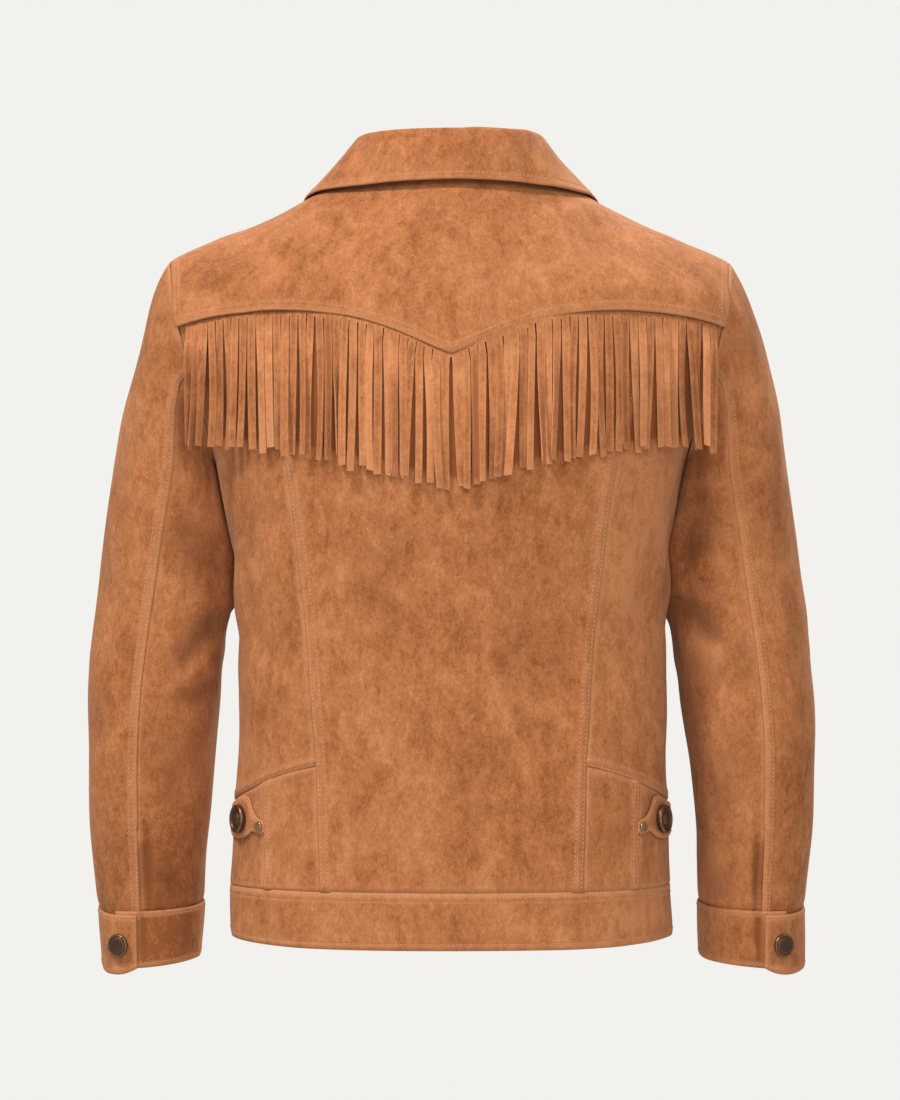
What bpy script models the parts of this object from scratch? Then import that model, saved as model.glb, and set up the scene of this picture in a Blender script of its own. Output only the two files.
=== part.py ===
"""Fringed buckskin jacket, worn shape, hollow.

Metres, +Z up.  The front faces -Y, the back +Y, the wearer's left is +X.
The origin is the middle of the neck at the height of the shoulder ridge.
The body is one smooth form given by a side parameter s (0 at the middle of the
back or front, +-1 at the side seam) and a level h (0 at the armpit, 1 on the
shoulder ridge, negative below the armpit).  Every panel is a four-sided patch of
that form between its own seams.
"""
import math

import bmesh
import bpy
from mathutils import Vector

# ---------------------------------------------------------------- sizes
WALL = 0.0014            # suede thickness
SEAM_GAP = 0.0005        # clear width left between two sewn pieces
SHAPE_K = 2.4            # fullness of the body's rings
SHAPE_N = 2.2            # fullness of the shoulders, front to back
ARMPIT_Z = -0.240        # level h = 0
LEVEL_STEP = 0.240       # height of one level below the armpit

SIDE_SEAM_TOP_Z = -0.250
HEM_TOP_Z = -0.6070
HEM_BOTTOM_Z = -0.6545
HEM_SIDE_RISE = 0.0055   # the band's lower edge is higher at the sides
FRONT_LAP = 0.020        # reach of each front past the middle
LAP_LIFT = 0.0013        # how far each lapped front leaves the body's form

YOKE_LIFT = 0.0045       # yoke's lower edge stands off the back panels
YOKE_LAP = 0.012         # back panels run this far up under the yoke
FRINGE_LIFT = 0.0017     # fringe strip lies between panel and yoke
FRINGE_COUNT = 64
FRINGE_TOP = 0.008       # strip above the yoke edge
FRINGE_MARGIN = 0.005    # uncut strip below the yoke edge
STRAND_FILL = 0.76       # strand width as a share of its pitch
STRAND_THICK = 0.0013

# level, half width, back depth, front depth
BODY_LEVELS = (
    (-1.717, 0.1880, 0.1170, 0.1130),
    (-1.520, 0.1868, 0.1170, 0.1125),
    (-1.370, 0.1845, 0.1150, 0.1110),
    (-1.167, 0.1828, 0.1120, 0.1090),
    (-0.883, 0.1815, 0.1090, 0.1080),
    (-0.673, 0.1815, 0.1090, 0.1090),
    (-0.496, 0.1836, 0.1120, 0.1110),
    (-0.354, 0.1875, 0.1155, 0.1130),
    (-0.142, 0.1935, 0.1210, 0.1160),
    (0.000, 0.2020, 0.1240, 0.1170),
    (0.128, 0.2220, 0.1250, 0.1180),
    (0.248, 0.2430, 0.1250, 0.1180),
    (0.416, 0.2587, 0.1250, 0.1180),
    (0.609, 0.2640, 0.1250, 0.1180),
    (1.000, 0.2680, 0.1250, 0.1180),
    (1.400, 0.2680, 0.1250, 0.1180),
)

# x, height of the shoulder ridge
SHOULDER_RIDGE = (
    (0.000, 0.0180), (0.040, 0.0130), (0.079, -0.0035), (0.140, -0.0393),
    (0.1615, -0.0494), (0.188, -0.0590), (0.215, -0.0700), (0.235, -0.0792), (0.260, -0.0950),
    (0.300, -0.1200),
)

# height, x of the armhole edge
ARMHOLE_BACK = (
    (-0.236, 0.2020), (-0.200, 0.2100), (-0.170, 0.2190), (-0.135, 0.2280),
    (-0.104, 0.2330), (-0.080, 0.2370),
)
ARMHOLE_FRONT = (
    (-0.236, 0.1995), (-0.200, 0.2050), (-0.170, 0.2120), (-0.135, 0.2210),
    (-0.104, 0.2300), (-0.080, 0.2370),
)

# x, height of the yoke's lower edge
YOKE_EDGE = (
    (0.000, -0.1640), (0.018, -0.1570), (0.043, -0.1450), (0.075, -0.1340),
    (0.110, -0.1290), (0.145, -0.1280), (0.185, -0.1310), (0.215, -0.1365),
    (0.240, -0.1420),
)

# height, x of the princess seam
PRINCESS_SEAM = (
    (-0.607, 0.1085), (-0.505, 0.1110), (-0.448, 0.1145), (-0.382, 0.1195),
    (-0.341, 0.1250), (-0.284, 0.1310), (-0.243, 0.1380), (-0.210, 0.1460),
    (-0.180, 0.1550), (-0.110, 0.1650),
)

# x, height of the hip seam
HIP_SEAM = (
    (0.105, -0.5020), (0.125, -0.5065), (0.145, -0.5130), (0.165, -0.5225),
    (0.179, -0.5320), (0.185, -0.5370),
)
HIP_UPRIGHT_X = 0.1560   # short upright seam below the hip seam

# heights that both panels at a princess seam share
PRINCESS_ROWS = (-0.5032, -0.470, -0.437, -0.405, -0.373, -0.341, -0.310, -0.280, -0.252,
                 -0.226, -0.201, -0.177, -0.155, -0.135)


def table(rows, at, column=1):
    """Smooth curve through a table's rows, without overshoot."""
    xs = [row[0] for row in rows]
    ys = [row[column] for row in rows]
    if at <= xs[0]:
        return ys[0] + (at - xs[0]) * (ys[1] - ys[0]) / (xs[1] - xs[0])
    if at >= xs[-1]:
        return ys[-1] + (at - xs[-1]) * (ys[-1] - ys[-2]) / (xs[-1] - xs[-2])
    i = max(k for k in range(len(xs) - 1) if xs[k] <= at)
    rise = [(ys[k + 1] - ys[k]) / (xs[k + 1] - xs[k]) for k in range(len(xs) - 1)]

    def slope(k):
        if k == 0:
            return rise[0]
        if k == len(xs) - 1:
            return rise[-1]
        a, b = rise[k - 1], rise[k]
        return 0.0 if a * b <= 0 else 2.0 * a * b / (a + b)

    span = xs[i + 1] - xs[i]
    t = (at - xs[i]) / span
    return (ys[i] * (1 + 2 * t) * (1 - t) ** 2 + slope(i) * span * t * (1 - t) ** 2
            + ys[i + 1] * t * t * (3 - 2 * t) + slope(i + 1) * span * t * t * (t - 1))


def mix(a, b, t):
    return a + (b - a) * t


def smooth(t):
    t = min(1.0, max(0.0, t))
    return t * t * (3.0 - 2.0 * t)


# ---------------------------------------------------------------- the body's form
def ridge(x):
    return table(SHOULDER_RIDGE, abs(x))


def level_of(x, z):
    """Level h of a point seen at x and height z."""
    if z <= ARMPIT_Z:
        return (z - ARMPIT_Z) / LEVEL_STEP
    t = min(1.0, (z - ARMPIT_Z) / (ridge(x) - ARMPIT_Z))
    return math.asin(t ** (SHAPE_N / 2.0)) / (math.pi / 2.0)


def side_of(x, h):
    """Side parameter s of x on level h."""
    q = min(1.0, abs(x) / table(BODY_LEVELS, h))
    return math.copysign(math.asin(q ** (SHAPE_K / 2.0)) / (math.pi / 2.0), x)


def spot(x, z):
    """(s, h) of a point given by x and height."""
    h = level_of(x, z)
    return side_of(x, h), h


def body(s, h, face):
    """Point of the body's form; face +1 is the back, -1 the front."""
    turn = min(1.0, abs(s)) * math.pi / 2.0
    x = math.copysign(table(BODY_LEVELS, h) * math.sin(turn) ** (2.0 / SHAPE_K), s)
    deep = max(0.0, math.cos(turn)) ** (2.0 / SHAPE_K)
    if h <= 0.0:
        z, fall = ARMPIT_Z + h * LEVEL_STEP, 1.0
    else:
        up = h * math.pi / 2.0
        z = ARMPIT_Z + (ridge(x) - ARMPIT_Z) * math.sin(up) ** (2.0 / SHAPE_N)
        fall = math.copysign(abs(math.cos(up)) ** (2.0 / SHAPE_N), math.cos(up))
    face = face if fall >= 0.0 else -face
    depth = table(BODY_LEVELS, h, 2 if face > 0 else 3)
    return Vector((x, face * depth * deep * abs(fall), z))


def outward(s, h, face):
    """Unit normal of the body's form, pointing out."""
    step = 0.004
    s0, s1 = max(-0.9999, s - step), min(0.9999, s + step)
    across = body(s1, h, face) - body(s0, h, face)
    along = body(s, h + step, face) - body(s, h - step, face)
    normal = across.cross(along)
    return (normal if face < 0 else -normal).normalized()


def mirror(point):
    return Vector((-point.x, point.y, point.z))


# ---------------------------------------------------------------- seams as curves
def yoke_edge(x, up=0.0):
    return spot(x, table(YOKE_EDGE, abs(x)) + up)


def princess(z, sign=1):
    return spot(sign * table(PRINCESS_SEAM, z), z)


def hip_seam(x):
    return spot(x, table(HIP_SEAM, x))


def side_seam(z):
    return 1.0, (z - ARMPIT_Z) / LEVEL_STEP


def armhole(z, rows=ARMHOLE_BACK):
    return spot(table(rows, z), z)


def armhole_level(h, rows=ARMHOLE_BACK):
    """Armhole point on a level near or over the ridge."""
    x = 0.234
    for _ in range(6):
        z = ARMPIT_Z + (ridge(x) - ARMPIT_Z) * math.sin(h * math.pi / 2) ** (2 / SHAPE_N)
        x = table(rows, z)
    return side_of(x, h), h


SHOULDER_SEAM_Y = -0.015   # the shoulder seam lies this far in front of the ridge


def seam_level(x):
    """Front level h of the shoulder seam at x."""
    half, deep = BODY_LEVELS[-1][1], BODY_LEVELS[-1][3]
    fill = (1.0 - (abs(x) / half) ** SHAPE_K) ** (1.0 / SHAPE_K)
    return math.acos((-SHOULDER_SEAM_Y / (deep * fill)) ** (SHAPE_N / 2)) * 2 / math.pi


NECK_X = 0.0795            # half width of the neck hole
NECK_BACK_LEVEL = 0.665
NECK_FRONT_LEVEL = 0.384


def neck_back(q):
    """Back neckline, q from 0 at the middle to 1 at the neck point."""
    x = NECK_X * math.sin(q * math.pi / 2)
    top = 2.0 - seam_level(NECK_X)
    h = top - (top - NECK_BACK_LEVEL) * math.cos(q * math.pi / 2)
    return side_of(x, h), h


def neck_front(q):
    """Front neckline, q from 0 at the middle to 1 at the neck point."""
    x = NECK_X * math.sin(q * math.pi / 2)
    top = seam_level(NECK_X)
    h = top - (top - NECK_FRONT_LEVEL) * math.cos(q * math.pi / 2)
    return side_of(x, h), h


YOKE_CORNER_Z = -0.1395
YOKE_ROWS = 8


def armhole_back_low():
    """Back armhole from just above the armpit up to the yoke's corner."""
    return [armhole(z) for z in (-0.2465, -0.236, -0.218, -0.197, -0.176, -0.157,
                                 YOKE_CORNER_Z)]


def armhole_yoke():
    """Yoke's armhole edge from its corner over the ridge to the shoulder seam."""
    low = armhole(YOKE_CORNER_Z)[1]
    top = 2.0 - seam_level(0.2362)
    levels = [mix(low, top, k / YOKE_ROWS) for k in range(YOKE_ROWS + 1)]
    return [armhole_level(h, ARMHOLE_BACK if h < 1.0 else ARMHOLE_FRONT) for h in levels]


def armhole_front_up():
    """Front armhole from just above the armpit up to the shoulder seam."""
    low = [armhole(z, ARMHOLE_FRONT) for z in (-0.2465, -0.236, -0.218, -0.195, -0.162,
                                               -0.130, -0.104)]
    top = seam_level(0.2362)
    middle = armhole_level(mix(low[-1][1], top, 0.5), ARMHOLE_FRONT)
    return low + [middle, armhole_level(top, ARMHOLE_FRONT)]


# ---------------------------------------------------------------- patches and solids
def coons(bottom, top, left, right):
    """Grid of (s, h) between four edges given as lists of (s, h)."""
    n, m = len(bottom) - 1, len(left) - 1
    grid = []
    for j in range(m + 1):
        v, line = j / m, []
        for i in range(n + 1):
            u = i / n
            line.append(tuple(
                (1 - v) * bottom[i][c] + v * top[i][c] + (1 - u) * left[j][c]
                + u * right[j][c]
                - (1 - u) * (1 - v) * bottom[0][c] - u * (1 - v) * bottom[n][c]
                - (1 - u) * v * top[0][c] - u * v * top[n][c] for c in (0, 1)))
        grid.append(line)
    return grid


def body_grid(patch, face, lift=None):
    """Outer and inner points of a patch on the body, lifted by lift(i, j, s, h)."""
    outer, inner = [], []
    for j, line in enumerate(patch):
        outer.append([])
        inner.append([])
        for i, (s, h) in enumerate(line):
            point, normal = body(s, h, face), outward(s, h, face)
            off = lift(i, j, s, h) if lift else 0.0
            outer[-1].append(point + normal * (off + WALL / 2))
            inner[-1].append(point + normal * (off - WALL / 2))
    return outer, inner


def trim(grid, left=1, right=1, bottom=1, top=1):
    """Draw the edges of a grid in by half the seam gap (times the given factors)."""
    half = SEAM_GAP / 2
    out = [[p.copy() for p in line] for line in grid]
    rows, cols = len(grid), len(grid[0])
    for j in range(rows):
        a, b = grid[j], out[j]
        b[0] += (a[1] - a[0]).normalized() * half * left
        b[-1] += (a[-2] - a[-1]).normalized() * half * right
    for i in range(cols):
        out[0][i] += (grid[1][i] - grid[0][i]).normalized() * half * bottom
        out[-1][i] += (grid[-2][i] - grid[-1][i]).normalized() * half * top
    return out


def make_object(name, points, faces, material):
    mesh = bpy.data.meshes.new(name)
    mesh.from_pydata(points, [], faces)
    bm = bmesh.new()
    bm.from_mesh(mesh)
    bmesh.ops.recalc_face_normals(bm, faces=bm.faces)
    bm.to_mesh(mesh)
    bm.free()
    mesh.materials.append(material)
    obj = bpy.data.objects.new(name, mesh)
    bpy.context.scene.collection.objects.link(obj)
    return obj


def sheet_solid(name, outer, inner, material):
    """Closed wall between two grids of points. Both sides are split along the same diagonal,
    so that the wall keeps its thickness where a quad isn't flat."""
    rows, cols = len(outer), len(outer[0])
    points = [p for line in outer for p in line] + [p for line in inner for p in line]
    base = rows * cols
    faces = []
    for j in range(rows - 1):
        for i in range(cols - 1):
            a = j * cols + i
            b, c, d = a + 1, a + cols + 1, a + cols
            if (points[a] - points[c]).length <= (points[b] - points[d]).length:
                halves = ((a, b, c), (a, c, d))
            else:
                halves = ((a, b, d), (b, c, d))
            faces += halves
            faces += [tuple(base + k for k in reversed(half)) for half in halves]
    rim = ([i for i in range(cols)] + [j * cols + cols - 1 for j in range(1, rows)]
           + [(rows - 1) * cols + i for i in range(cols - 2, -1, -1)]
           + [j * cols for j in range(rows - 2, 0, -1)])
    for a, b in zip(rim, rim[1:] + rim[:1]):
        faces.append((b, a, base + a, base + b))
    obj = make_object(name, points, faces, material)
    for polygon in obj.data.polygons:
        polygon.use_smooth = len(polygon.vertices) == 3
    return obj


def pair(name, outer, inner, material):
    """The left piece and its mirrored right piece."""
    sheet_solid(name + "_left", outer, inner, material)
    sheet_solid(name + "_right", [[mirror(p) for p in line] for line in outer],
                [[mirror(p) for p in line] for line in inner], material)


def suede(name, color):
    material = bpy.data.materials.new(name)
    material.use_nodes = True
    shader = material.node_tree.nodes["Principled BSDF"]
    shader.inputs["Base Color"].default_value = (*color, 1.0)
    shader.inputs["Roughness"].default_value = 0.95
    shader.inputs["Metallic"].default_value = 0.0
    return material


def bronze(name, color):
    material = suede(name, color)
    shader = material.node_tree.nodes["Principled BSDF"]
    shader.inputs["Roughness"].default_value = 0.45
    shader.inputs["Metallic"].default_value = 0.8
    return material


# ---------------------------------------------------------------- body pieces
def yoke_fall(h_here, h_edge):
    """Yoke's lift above its lower edge: full over the lap, then down to nothing."""
    return YOKE_LIFT * (1.0 - smooth((h_here - h_edge - 0.075) / 0.16))


def back_yoke(material):
    xs = (0.018, 0.043, 0.075, 0.108, 0.140, 0.170, 0.195, 0.213)
    corner = armhole_yoke()[0]
    right = [yoke_edge(x) for x in (0.0,) + xs] + [corner]
    bottom = [(-s, h) for s, h in reversed(right[1:])] + right
    shoulder = []
    for k in range(1, 6):
        x = mix(NECK_X, 0.2362, k / 5)
        h = 2.0 - seam_level(x)
        shoulder.append((side_of(x, h), h))
    shoulder[-1] = armhole_yoke()[-1]
    half = [neck_back(q) for q in (0.0, 0.25, 0.5, 0.75, 1.0)] + shoulder
    top = [(-s, h) for s, h in reversed(half[1:])] + half
    outer_edge = armhole_yoke()
    patch = coons(bottom, top, [(-s, h) for s, h in outer_edge], outer_edge)

    def lift(i, j, s, h):
        return yoke_fall(h, patch[0][i][1])

    outer, inner = body_grid(patch, 1, lift)
    sheet_solid("back_yoke", trim(outer, bottom=0), trim(inner, bottom=0), material)


def back_center_panel(material):
    top_x = 0.1645
    right = [princess(z) for z in (HEM_TOP_Z, -0.572, -0.538) + PRINCESS_ROWS]
    right.append(yoke_edge(top_x, YOKE_LAP))
    left = [(-s, h) for s, h in right]
    n = 8
    bottom = [spot(mix(-0.1085, 0.1085, i / n), HEM_TOP_Z) for i in range(n + 1)]
    top = [yoke_edge(mix(-top_x, top_x, i / n), YOKE_LAP) for i in range(n + 1)]
    outer, inner = body_grid(coons(bottom, top, left, right), 1)
    sheet_solid("back_center_panel", trim(outer), trim(inner), material)


def back_side_panels(material):
    inner_edge = [princess(z) for z in PRINCESS_ROWS] + [yoke_edge(0.1645, YOKE_LAP)]
    side_z = (-0.5370, -0.495, -0.452, -0.410, -0.368, -0.328, -0.289, -0.250)
    hole = armhole_back_low()
    hole[-1] = armhole(YOKE_CORNER_Z + YOKE_LAP)
    outer_edge = [side_seam(z) for z in side_z] + hole
    n = 6
    start = inner_edge[0]
    x = mix(body(*start, 1).x, HIP_UPRIGHT_X, 0.5)
    bottom = [start, hip_seam(x)] + hip_side_row()
    top = [inner_edge[-1]] + [yoke_edge(mix(0.1645, 0.2290, i / n), YOKE_LAP)
                              for i in range(1, n)] + [outer_edge[-1]]
    outer, inner = body_grid(coons(bottom, top, inner_edge, outer_edge), 1)
    pair("back_side_panel", trim(outer), trim(inner), material)


def hip_rows(x, low, high, count):
    return [spot(x, mix(low, high, k / count)) for k in range(count + 1)]


def hip_side_row():
    """Hip seam from the upright seam to the side seam, the same for both its pieces."""
    first, last = spot(HIP_UPRIGHT_X, table(HIP_SEAM, HIP_UPRIGHT_X)), side_seam(-0.5370)
    row = [first]
    for k in (1, 2, 3):
        s = mix(first[0], 1.0, k / 4)
        x = body(s, last[1], 1).x
        row.append((s, spot(x, table(HIP_SEAM, x))[1]))
    return row + [last]


def back_hip_panels(material):
    left = [princess(mix(HEM_TOP_Z, -0.5032, k / 4)) for k in range(5)]
    x0, x1 = body(*left[0], 1).x, HIP_UPRIGHT_X
    right = hip_rows(x1, HEM_TOP_Z, table(HIP_SEAM, x1), 4)
    bottom = [spot(mix(x0, x1, k / 3), HEM_TOP_Z) for k in range(4)]
    x2 = body(*left[-1], 1).x
    top = [left[-1]] + [hip_seam(mix(x2, x1, k / 3)) for k in (1, 2)] + [right[-1]]
    outer, inner = body_grid(coons(bottom, top, left, right), 1)
    pair("back_hip_panel", trim(outer), trim(inner), material)


def side_hip_panels(material):
    left = hip_rows(HIP_UPRIGHT_X, HEM_TOP_Z, table(HIP_SEAM, HIP_UPRIGHT_X), 4)
    right = [side_seam(mix(HEM_TOP_Z, -0.5370, k / 4)) for k in range(5)]
    start, level = left[0]
    bottom = [(mix(start, 1.0, k / 4), level) for k in range(5)]
    top = hip_side_row()
    outer, inner = body_grid(coons(bottom, top, left, right), 1)
    pair("side_hip_panel", trim(outer), trim(inner), material)


def fronts(material):
    side_z = (HEM_TOP_Z, -0.560, -0.5150, -0.470, -0.425, -0.380, -0.336, -0.293, -0.250)
    outer_edge = [side_seam(z) for z in side_z] + armhole_front_up()
    rows = len(outer_edge) - 1
    lap_q = -math.asin(FRONT_LAP / NECK_X) * 2 / math.pi
    neck = [neck_front(mix(lap_q, 1.0, k / 5)) for k in range(6)]
    shoulder = []
    for k in (1, 2, 3, 4):
        x = mix(NECK_X, 0.2362, k / 4)
        h = seam_level(x)
        shoulder.append((side_of(x, h), h))
    shoulder[-1] = outer_edge[-1]
    top = neck + shoulder
    n = len(top) - 1
    bottom_level = (HEM_TOP_Z - ARMPIT_Z) / LEVEL_STEP
    start = side_of(-FRONT_LAP, bottom_level)
    bottom = [(mix(start, 1.0, i / n), bottom_level) for i in range(n + 1)]
    inner_edge = []
    for j in range(rows + 1):
        h = mix(bottom_level, top[0][1], j / rows)
        inner_edge.append((side_of(-FRONT_LAP, h), h))
    patch = coons(bottom, top, inner_edge, outer_edge)
    for name, sign in (("front_left", 1), ("front_right", -1)):

        def lift(i, j, s, h):
            x = body(s, h, -1).x
            return sign * LAP_LIFT * (1.0 - smooth((x - 0.022) / 0.035))

        outer, inner = body_grid(patch, -1, lift)
        outer, inner = trim(outer), trim(inner)
        if sign < 0:
            outer = [[mirror(p) for p in line] for line in outer]
            inner = [[mirror(p) for p in line] for line in inner]
        sheet_solid(name, outer, inner, material)


def hem_band(material):
    """Open ring from the right front's under lap round the back to the left's lap."""
    count = 44
    lap = side_of(FRONT_LAP, (HEM_TOP_Z - ARMPIT_Z) / LEVEL_STEP)
    outer, inner = [], []
    for row in (0.0, 0.5, 1.0):
        outer.append([])
        inner.append([])
        for k in range(count + 1):
            w = mix(-2.0 - lap, 2.0 + lap, k / count)
            # w runs from -2 (front middle) through the right side and the back to +2
            turn = abs(w)
            rise = HEM_SIDE_RISE * math.exp(-((turn - 1.0) / 0.4) ** 2)
            z = mix(HEM_BOTTOM_Z + rise, HEM_TOP_Z, row)
            level = (z - ARMPIT_Z) / LEVEL_STEP
            if turn <= 1.0:
                s, face = w, 1
            elif turn <= 2.0:
                s, face = math.copysign(2.0 - turn, w), -1
            else:
                s, face = -math.copysign(turn - 2.0, w), -1
            point, normal = body(s, level, face), outward(s, level, face)
            near = 1.0 - smooth((2.0 + lap - turn - 0.16) / 0.16)
            off = math.copysign(LAP_LIFT, w) * near
            outer[-1].append(point + normal * (off + WALL / 2))
            inner[-1].append(point + normal * (off - WALL / 2))
    sheet_solid("hem_band", trim(outer, bottom=0), trim(inner, bottom=0), material)


# ---------------------------------------------------------------- sleeves
# height, middle x, middle y, half width, half depth
SLEEVE_RINGS = (
    (-0.2700, 0.2422, -0.0200, 0.0469, 0.0600),
    (-0.3000, 0.2423, -0.0260, 0.0519, 0.0608),
    (-0.3350, 0.2424, -0.0320, 0.0565, 0.0615),
    (-0.3675, 0.2438, -0.0350, 0.0593, 0.0615),
    (-0.3880, 0.2476, -0.0350, 0.0579, 0.0605),
    (-0.4150, 0.2505, -0.0340, 0.0574, 0.0600),
    (-0.4520, 0.2534, -0.0340, 0.0568, 0.0590),
    (-0.4950, 0.2565, -0.0360, 0.0540, 0.0565),
    (-0.5375, 0.2590, -0.0400, 0.0513, 0.0530),
    (-0.5750, 0.2606, -0.0430, 0.0492, 0.0498),
    (-0.6150, 0.2595, -0.0463, 0.0467, 0.0467),
    (-0.6250, 0.2590, -0.0473, 0.0457, 0.0461),
    (-0.6300, 0.2589, -0.0477, 0.0434, 0.0439),
    (-0.6410, 0.2589, -0.0480, 0.0424, 0.0430),
)
# angle of the back seam at the armhole, then at each ring
CAP_SEAM = 73
BACK_SEAM_TURN = (97, 90, 85, 82, 82, 81, 79.5, 79, 81.5, 84, 83.5, 83, 83, 83)
SLEEVE_K = 2.2
CAP_ROWS = 5
BACK_SEAM, FRONT_SEAM = 5, 20    # columns that carry the two seams
SIDE_STEPS = 5                   # columns from the back seam to the fixed ones
# angles of the other columns round the sleeve, 0 outward, 90 to the back
SIDE_ANGLES = (28, 20, 12, 4, -4, -13, -24, -38, -55, -76, -102, -122, -142, -161, -180)
SLIT_TOP_Z = -0.565
SLIT_WIDTH = 0.0016


def sleeve_angles(seam):
    """Angle of every column of a ring whose back seam lies at the angle seam."""
    back = [mix(180.0, seam, k / BACK_SEAM) for k in range(BACK_SEAM)]
    side = [mix(seam, SIDE_ANGLES[0], k / SIDE_STEPS) for k in range(SIDE_STEPS)]
    return back + side + list(SIDE_ANGLES)


def wrist_drop(c, s):
    """How much lower the wrist's seam lies on the outer side and at the back."""
    return 0.0022 * c + 0.0030 * s


def ring_point(angle, mid_x, mid_y, half_w, half_d):
    c, s = math.cos(math.radians(angle)), math.sin(math.radians(angle))
    r = 1.0 / (abs(c) ** SLEEVE_K + abs(s) ** SLEEVE_K) ** (1.0 / SLEEVE_K)
    return mid_x + half_w * r * c, mid_y + half_d * r * s


def armhole_stations():
    """(s, h, face) round the armhole: armpit, up the back, over, down the front."""
    back = [(s, h, 1) for s, h in armhole_back_low() + armhole_yoke()[1:]]
    front = [(s, h, -1) for s, h in reversed(armhole_front_up()[:-1])]
    armpit = (*side_seam(SIDE_SEAM_TOP_Z), 1)
    return [armpit] + back + front + [armpit]


def sleeve_start():
    """Start point and leaving direction of the sleeve at each armhole station."""
    stations = armhole_stations()
    points = [body(*station) for station in stations]
    angles = sleeve_angles(CAP_SEAM)
    count, out = len(points), []
    for k, (s, h, face) in enumerate(stations):
        ahead = points[k + 1] if k + 1 < count else points[1]
        behind = points[k - 1] if k > 0 else points[-2]
        normal = outward(s, h, face)
        if k in (0, count - 1):
            normal = Vector((1.0, 0.0, 0.0))
        leave = (ahead - behind).cross(normal).normalized()
        if leave.dot(Vector((0.3, 0.0, 1.0 if k in (0, count - 1) else 0.2))) < 0:
            leave = -leave
        low = max(0.0, -math.cos(math.radians(angles[k])))
        under = smooth((low - 0.25) / 0.6)
        start = points[k] + leave * (0.0006 + 0.0011 * under)
        start += Vector((0.0010 * under, 0.0, 0.0))
        drop = Vector((0.78, 0.0, -0.62)).lerp(Vector((0.85, 0.0, -0.35)), under)
        flat = leave.lerp(drop, 0.35 + 0.65 * under).normalized()
        out.append((start, flat, under))
    return out


def sleeve_grid():
    """Middle surface of the left sleeve, rows from the armhole down to the cuff."""
    starts = sleeve_start()
    grid = []
    rings = []
    for (z, *ring), seam in zip(SLEEVE_RINGS, BACK_SEAM_TURN):
        drop, line = smooth((-0.590 - z) / 0.035), []
        for angle in sleeve_angles(seam):
            c, s = math.cos(math.radians(angle)), math.sin(math.radians(angle))
            line.append(Vector((*ring_point(angle, *ring), z - drop * wrist_drop(c, s))))
        rings.append(line)
    for r in range(CAP_ROWS):
        t, line = r / CAP_ROWS, []
        for k, (start, flat, under) in enumerate(starts):
            end, after = rings[0][k], rings[1][k]
            span = (end - start).length
            a = flat * (0.075 * (1 - under) + 0.016 * under)
            b = (after - end).normalized() * span * mix(0.95, 0.7, under)
            line.append(start * (1 + 2 * t) * (1 - t) ** 2 + a * t * (1 - t) ** 2
                        + end * t * t * (3 - 2 * t) + b * t * t * (t - 1))
        grid.append(line)
    return grid + rings


def wall_of(grid, closed_at=None):
    """Outer and inner points of a tube-like grid, from its own normals."""
    rows, cols = len(grid), len(grid[0])
    outer, inner = [], []
    for j in range(rows):
        outer.append([])
        inner.append([])
        for i in range(cols):
            if closed_at and i in closed_at:
                east, west = grid[j][1], grid[j][cols - 2]
            else:
                east, west = grid[j][min(i + 1, cols - 1)], grid[j][max(i - 1, 0)]
            south, north = grid[min(j + 1, rows - 1)][i], grid[max(j - 1, 0)][i]
            normal = (east - west).cross(south - north).normalized()
            outer[-1].append(grid[j][i] + normal * WALL / 2)
            inner[-1].append(grid[j][i] - normal * WALL / 2)
    return outer, inner


def sleeves(material):
    grid = sleeve_grid()
    last = len(grid[0]) - 1
    outer, inner = wall_of(grid, (0, last))

    def part_of(source, columns):
        return [[line[k] for k in columns] for line in source]

    upper = range(BACK_SEAM, FRONT_SEAM + 1)
    under = list(range(FRONT_SEAM, last)) + list(range(0, BACK_SEAM + 1))
    pair("sleeve_upper", trim(part_of(outer, upper), bottom=0, top=0),
         trim(part_of(inner, upper), bottom=0, top=0), material)
    sides = [trim(part_of(source, under), bottom=0, top=0) for source in (outer, inner)]
    for side in sides:
        for j, (z, *_) in enumerate(SLEEVE_RINGS):
            line = side[CAP_ROWS + j]
            opened = smooth((SLIT_TOP_Z - z) / 0.03)
            toward = (line[-2] - line[-1]).normalized()
            line[-1] += toward * opened * SLIT_WIDTH
    pair("sleeve_under", *sides, material)


# ---------------------------------------------------------------- cuffs
CUFF_MID = (0.2589, -0.0478)
CUFF_HALF = (0.0460, 0.0472)
CUFF_LAP_LIFT = 0.0024
CUFF_SNAP_AT = (422.0, 0.50)
# angle round the wrist of every column; the first 25 degrees lie under the lap
CUFF_ANGLES = (55, 65, 77, 91, 105, 119, 132, 145, 158, 171, 184, 197, 211, 225, 239, 253,
               267, 281, 295, 309, 323, 337, 351, 365, 379, 393, 407, 421, 432, 440)


def cuff_point(angle, row, lift):
    """Point of the cuff; row 0 is its top edge, 1 its bottom edge."""
    c, s = math.cos(math.radians(angle)), math.sin(math.radians(angle))
    lap = smooth((angle - 357.0) / 70.0)
    corner = 0.0050 * smooth((angle - 426.0) / 14.0)
    high = -0.6290 - wrist_drop(c, s) - 0.0030 * lap
    low = -0.6772 - 0.0045 * c - 0.0028 * s - 0.0050 * lap + corner
    wide = 1.0 - 0.035 * row * row
    off = lift + CUFF_LAP_LIFT * smooth((angle - 379.0) / 30.0)
    x, y = ring_point(angle, *CUFF_MID, CUFF_HALF[0] * wide + off,
                      CUFF_HALF[1] * wide + off)
    return Vector((x, y, mix(high, low, row)))


def cuffs(material):
    rows = (0.0, 0.34, 0.67, 1.0)
    outer = [[cuff_point(a, r, WALL / 2) for a in CUFF_ANGLES] for r in rows]
    inner = [[cuff_point(a, r, -WALL / 2) for a in CUFF_ANGLES] for r in rows]
    pair("cuff", outer, inner, material)


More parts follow.
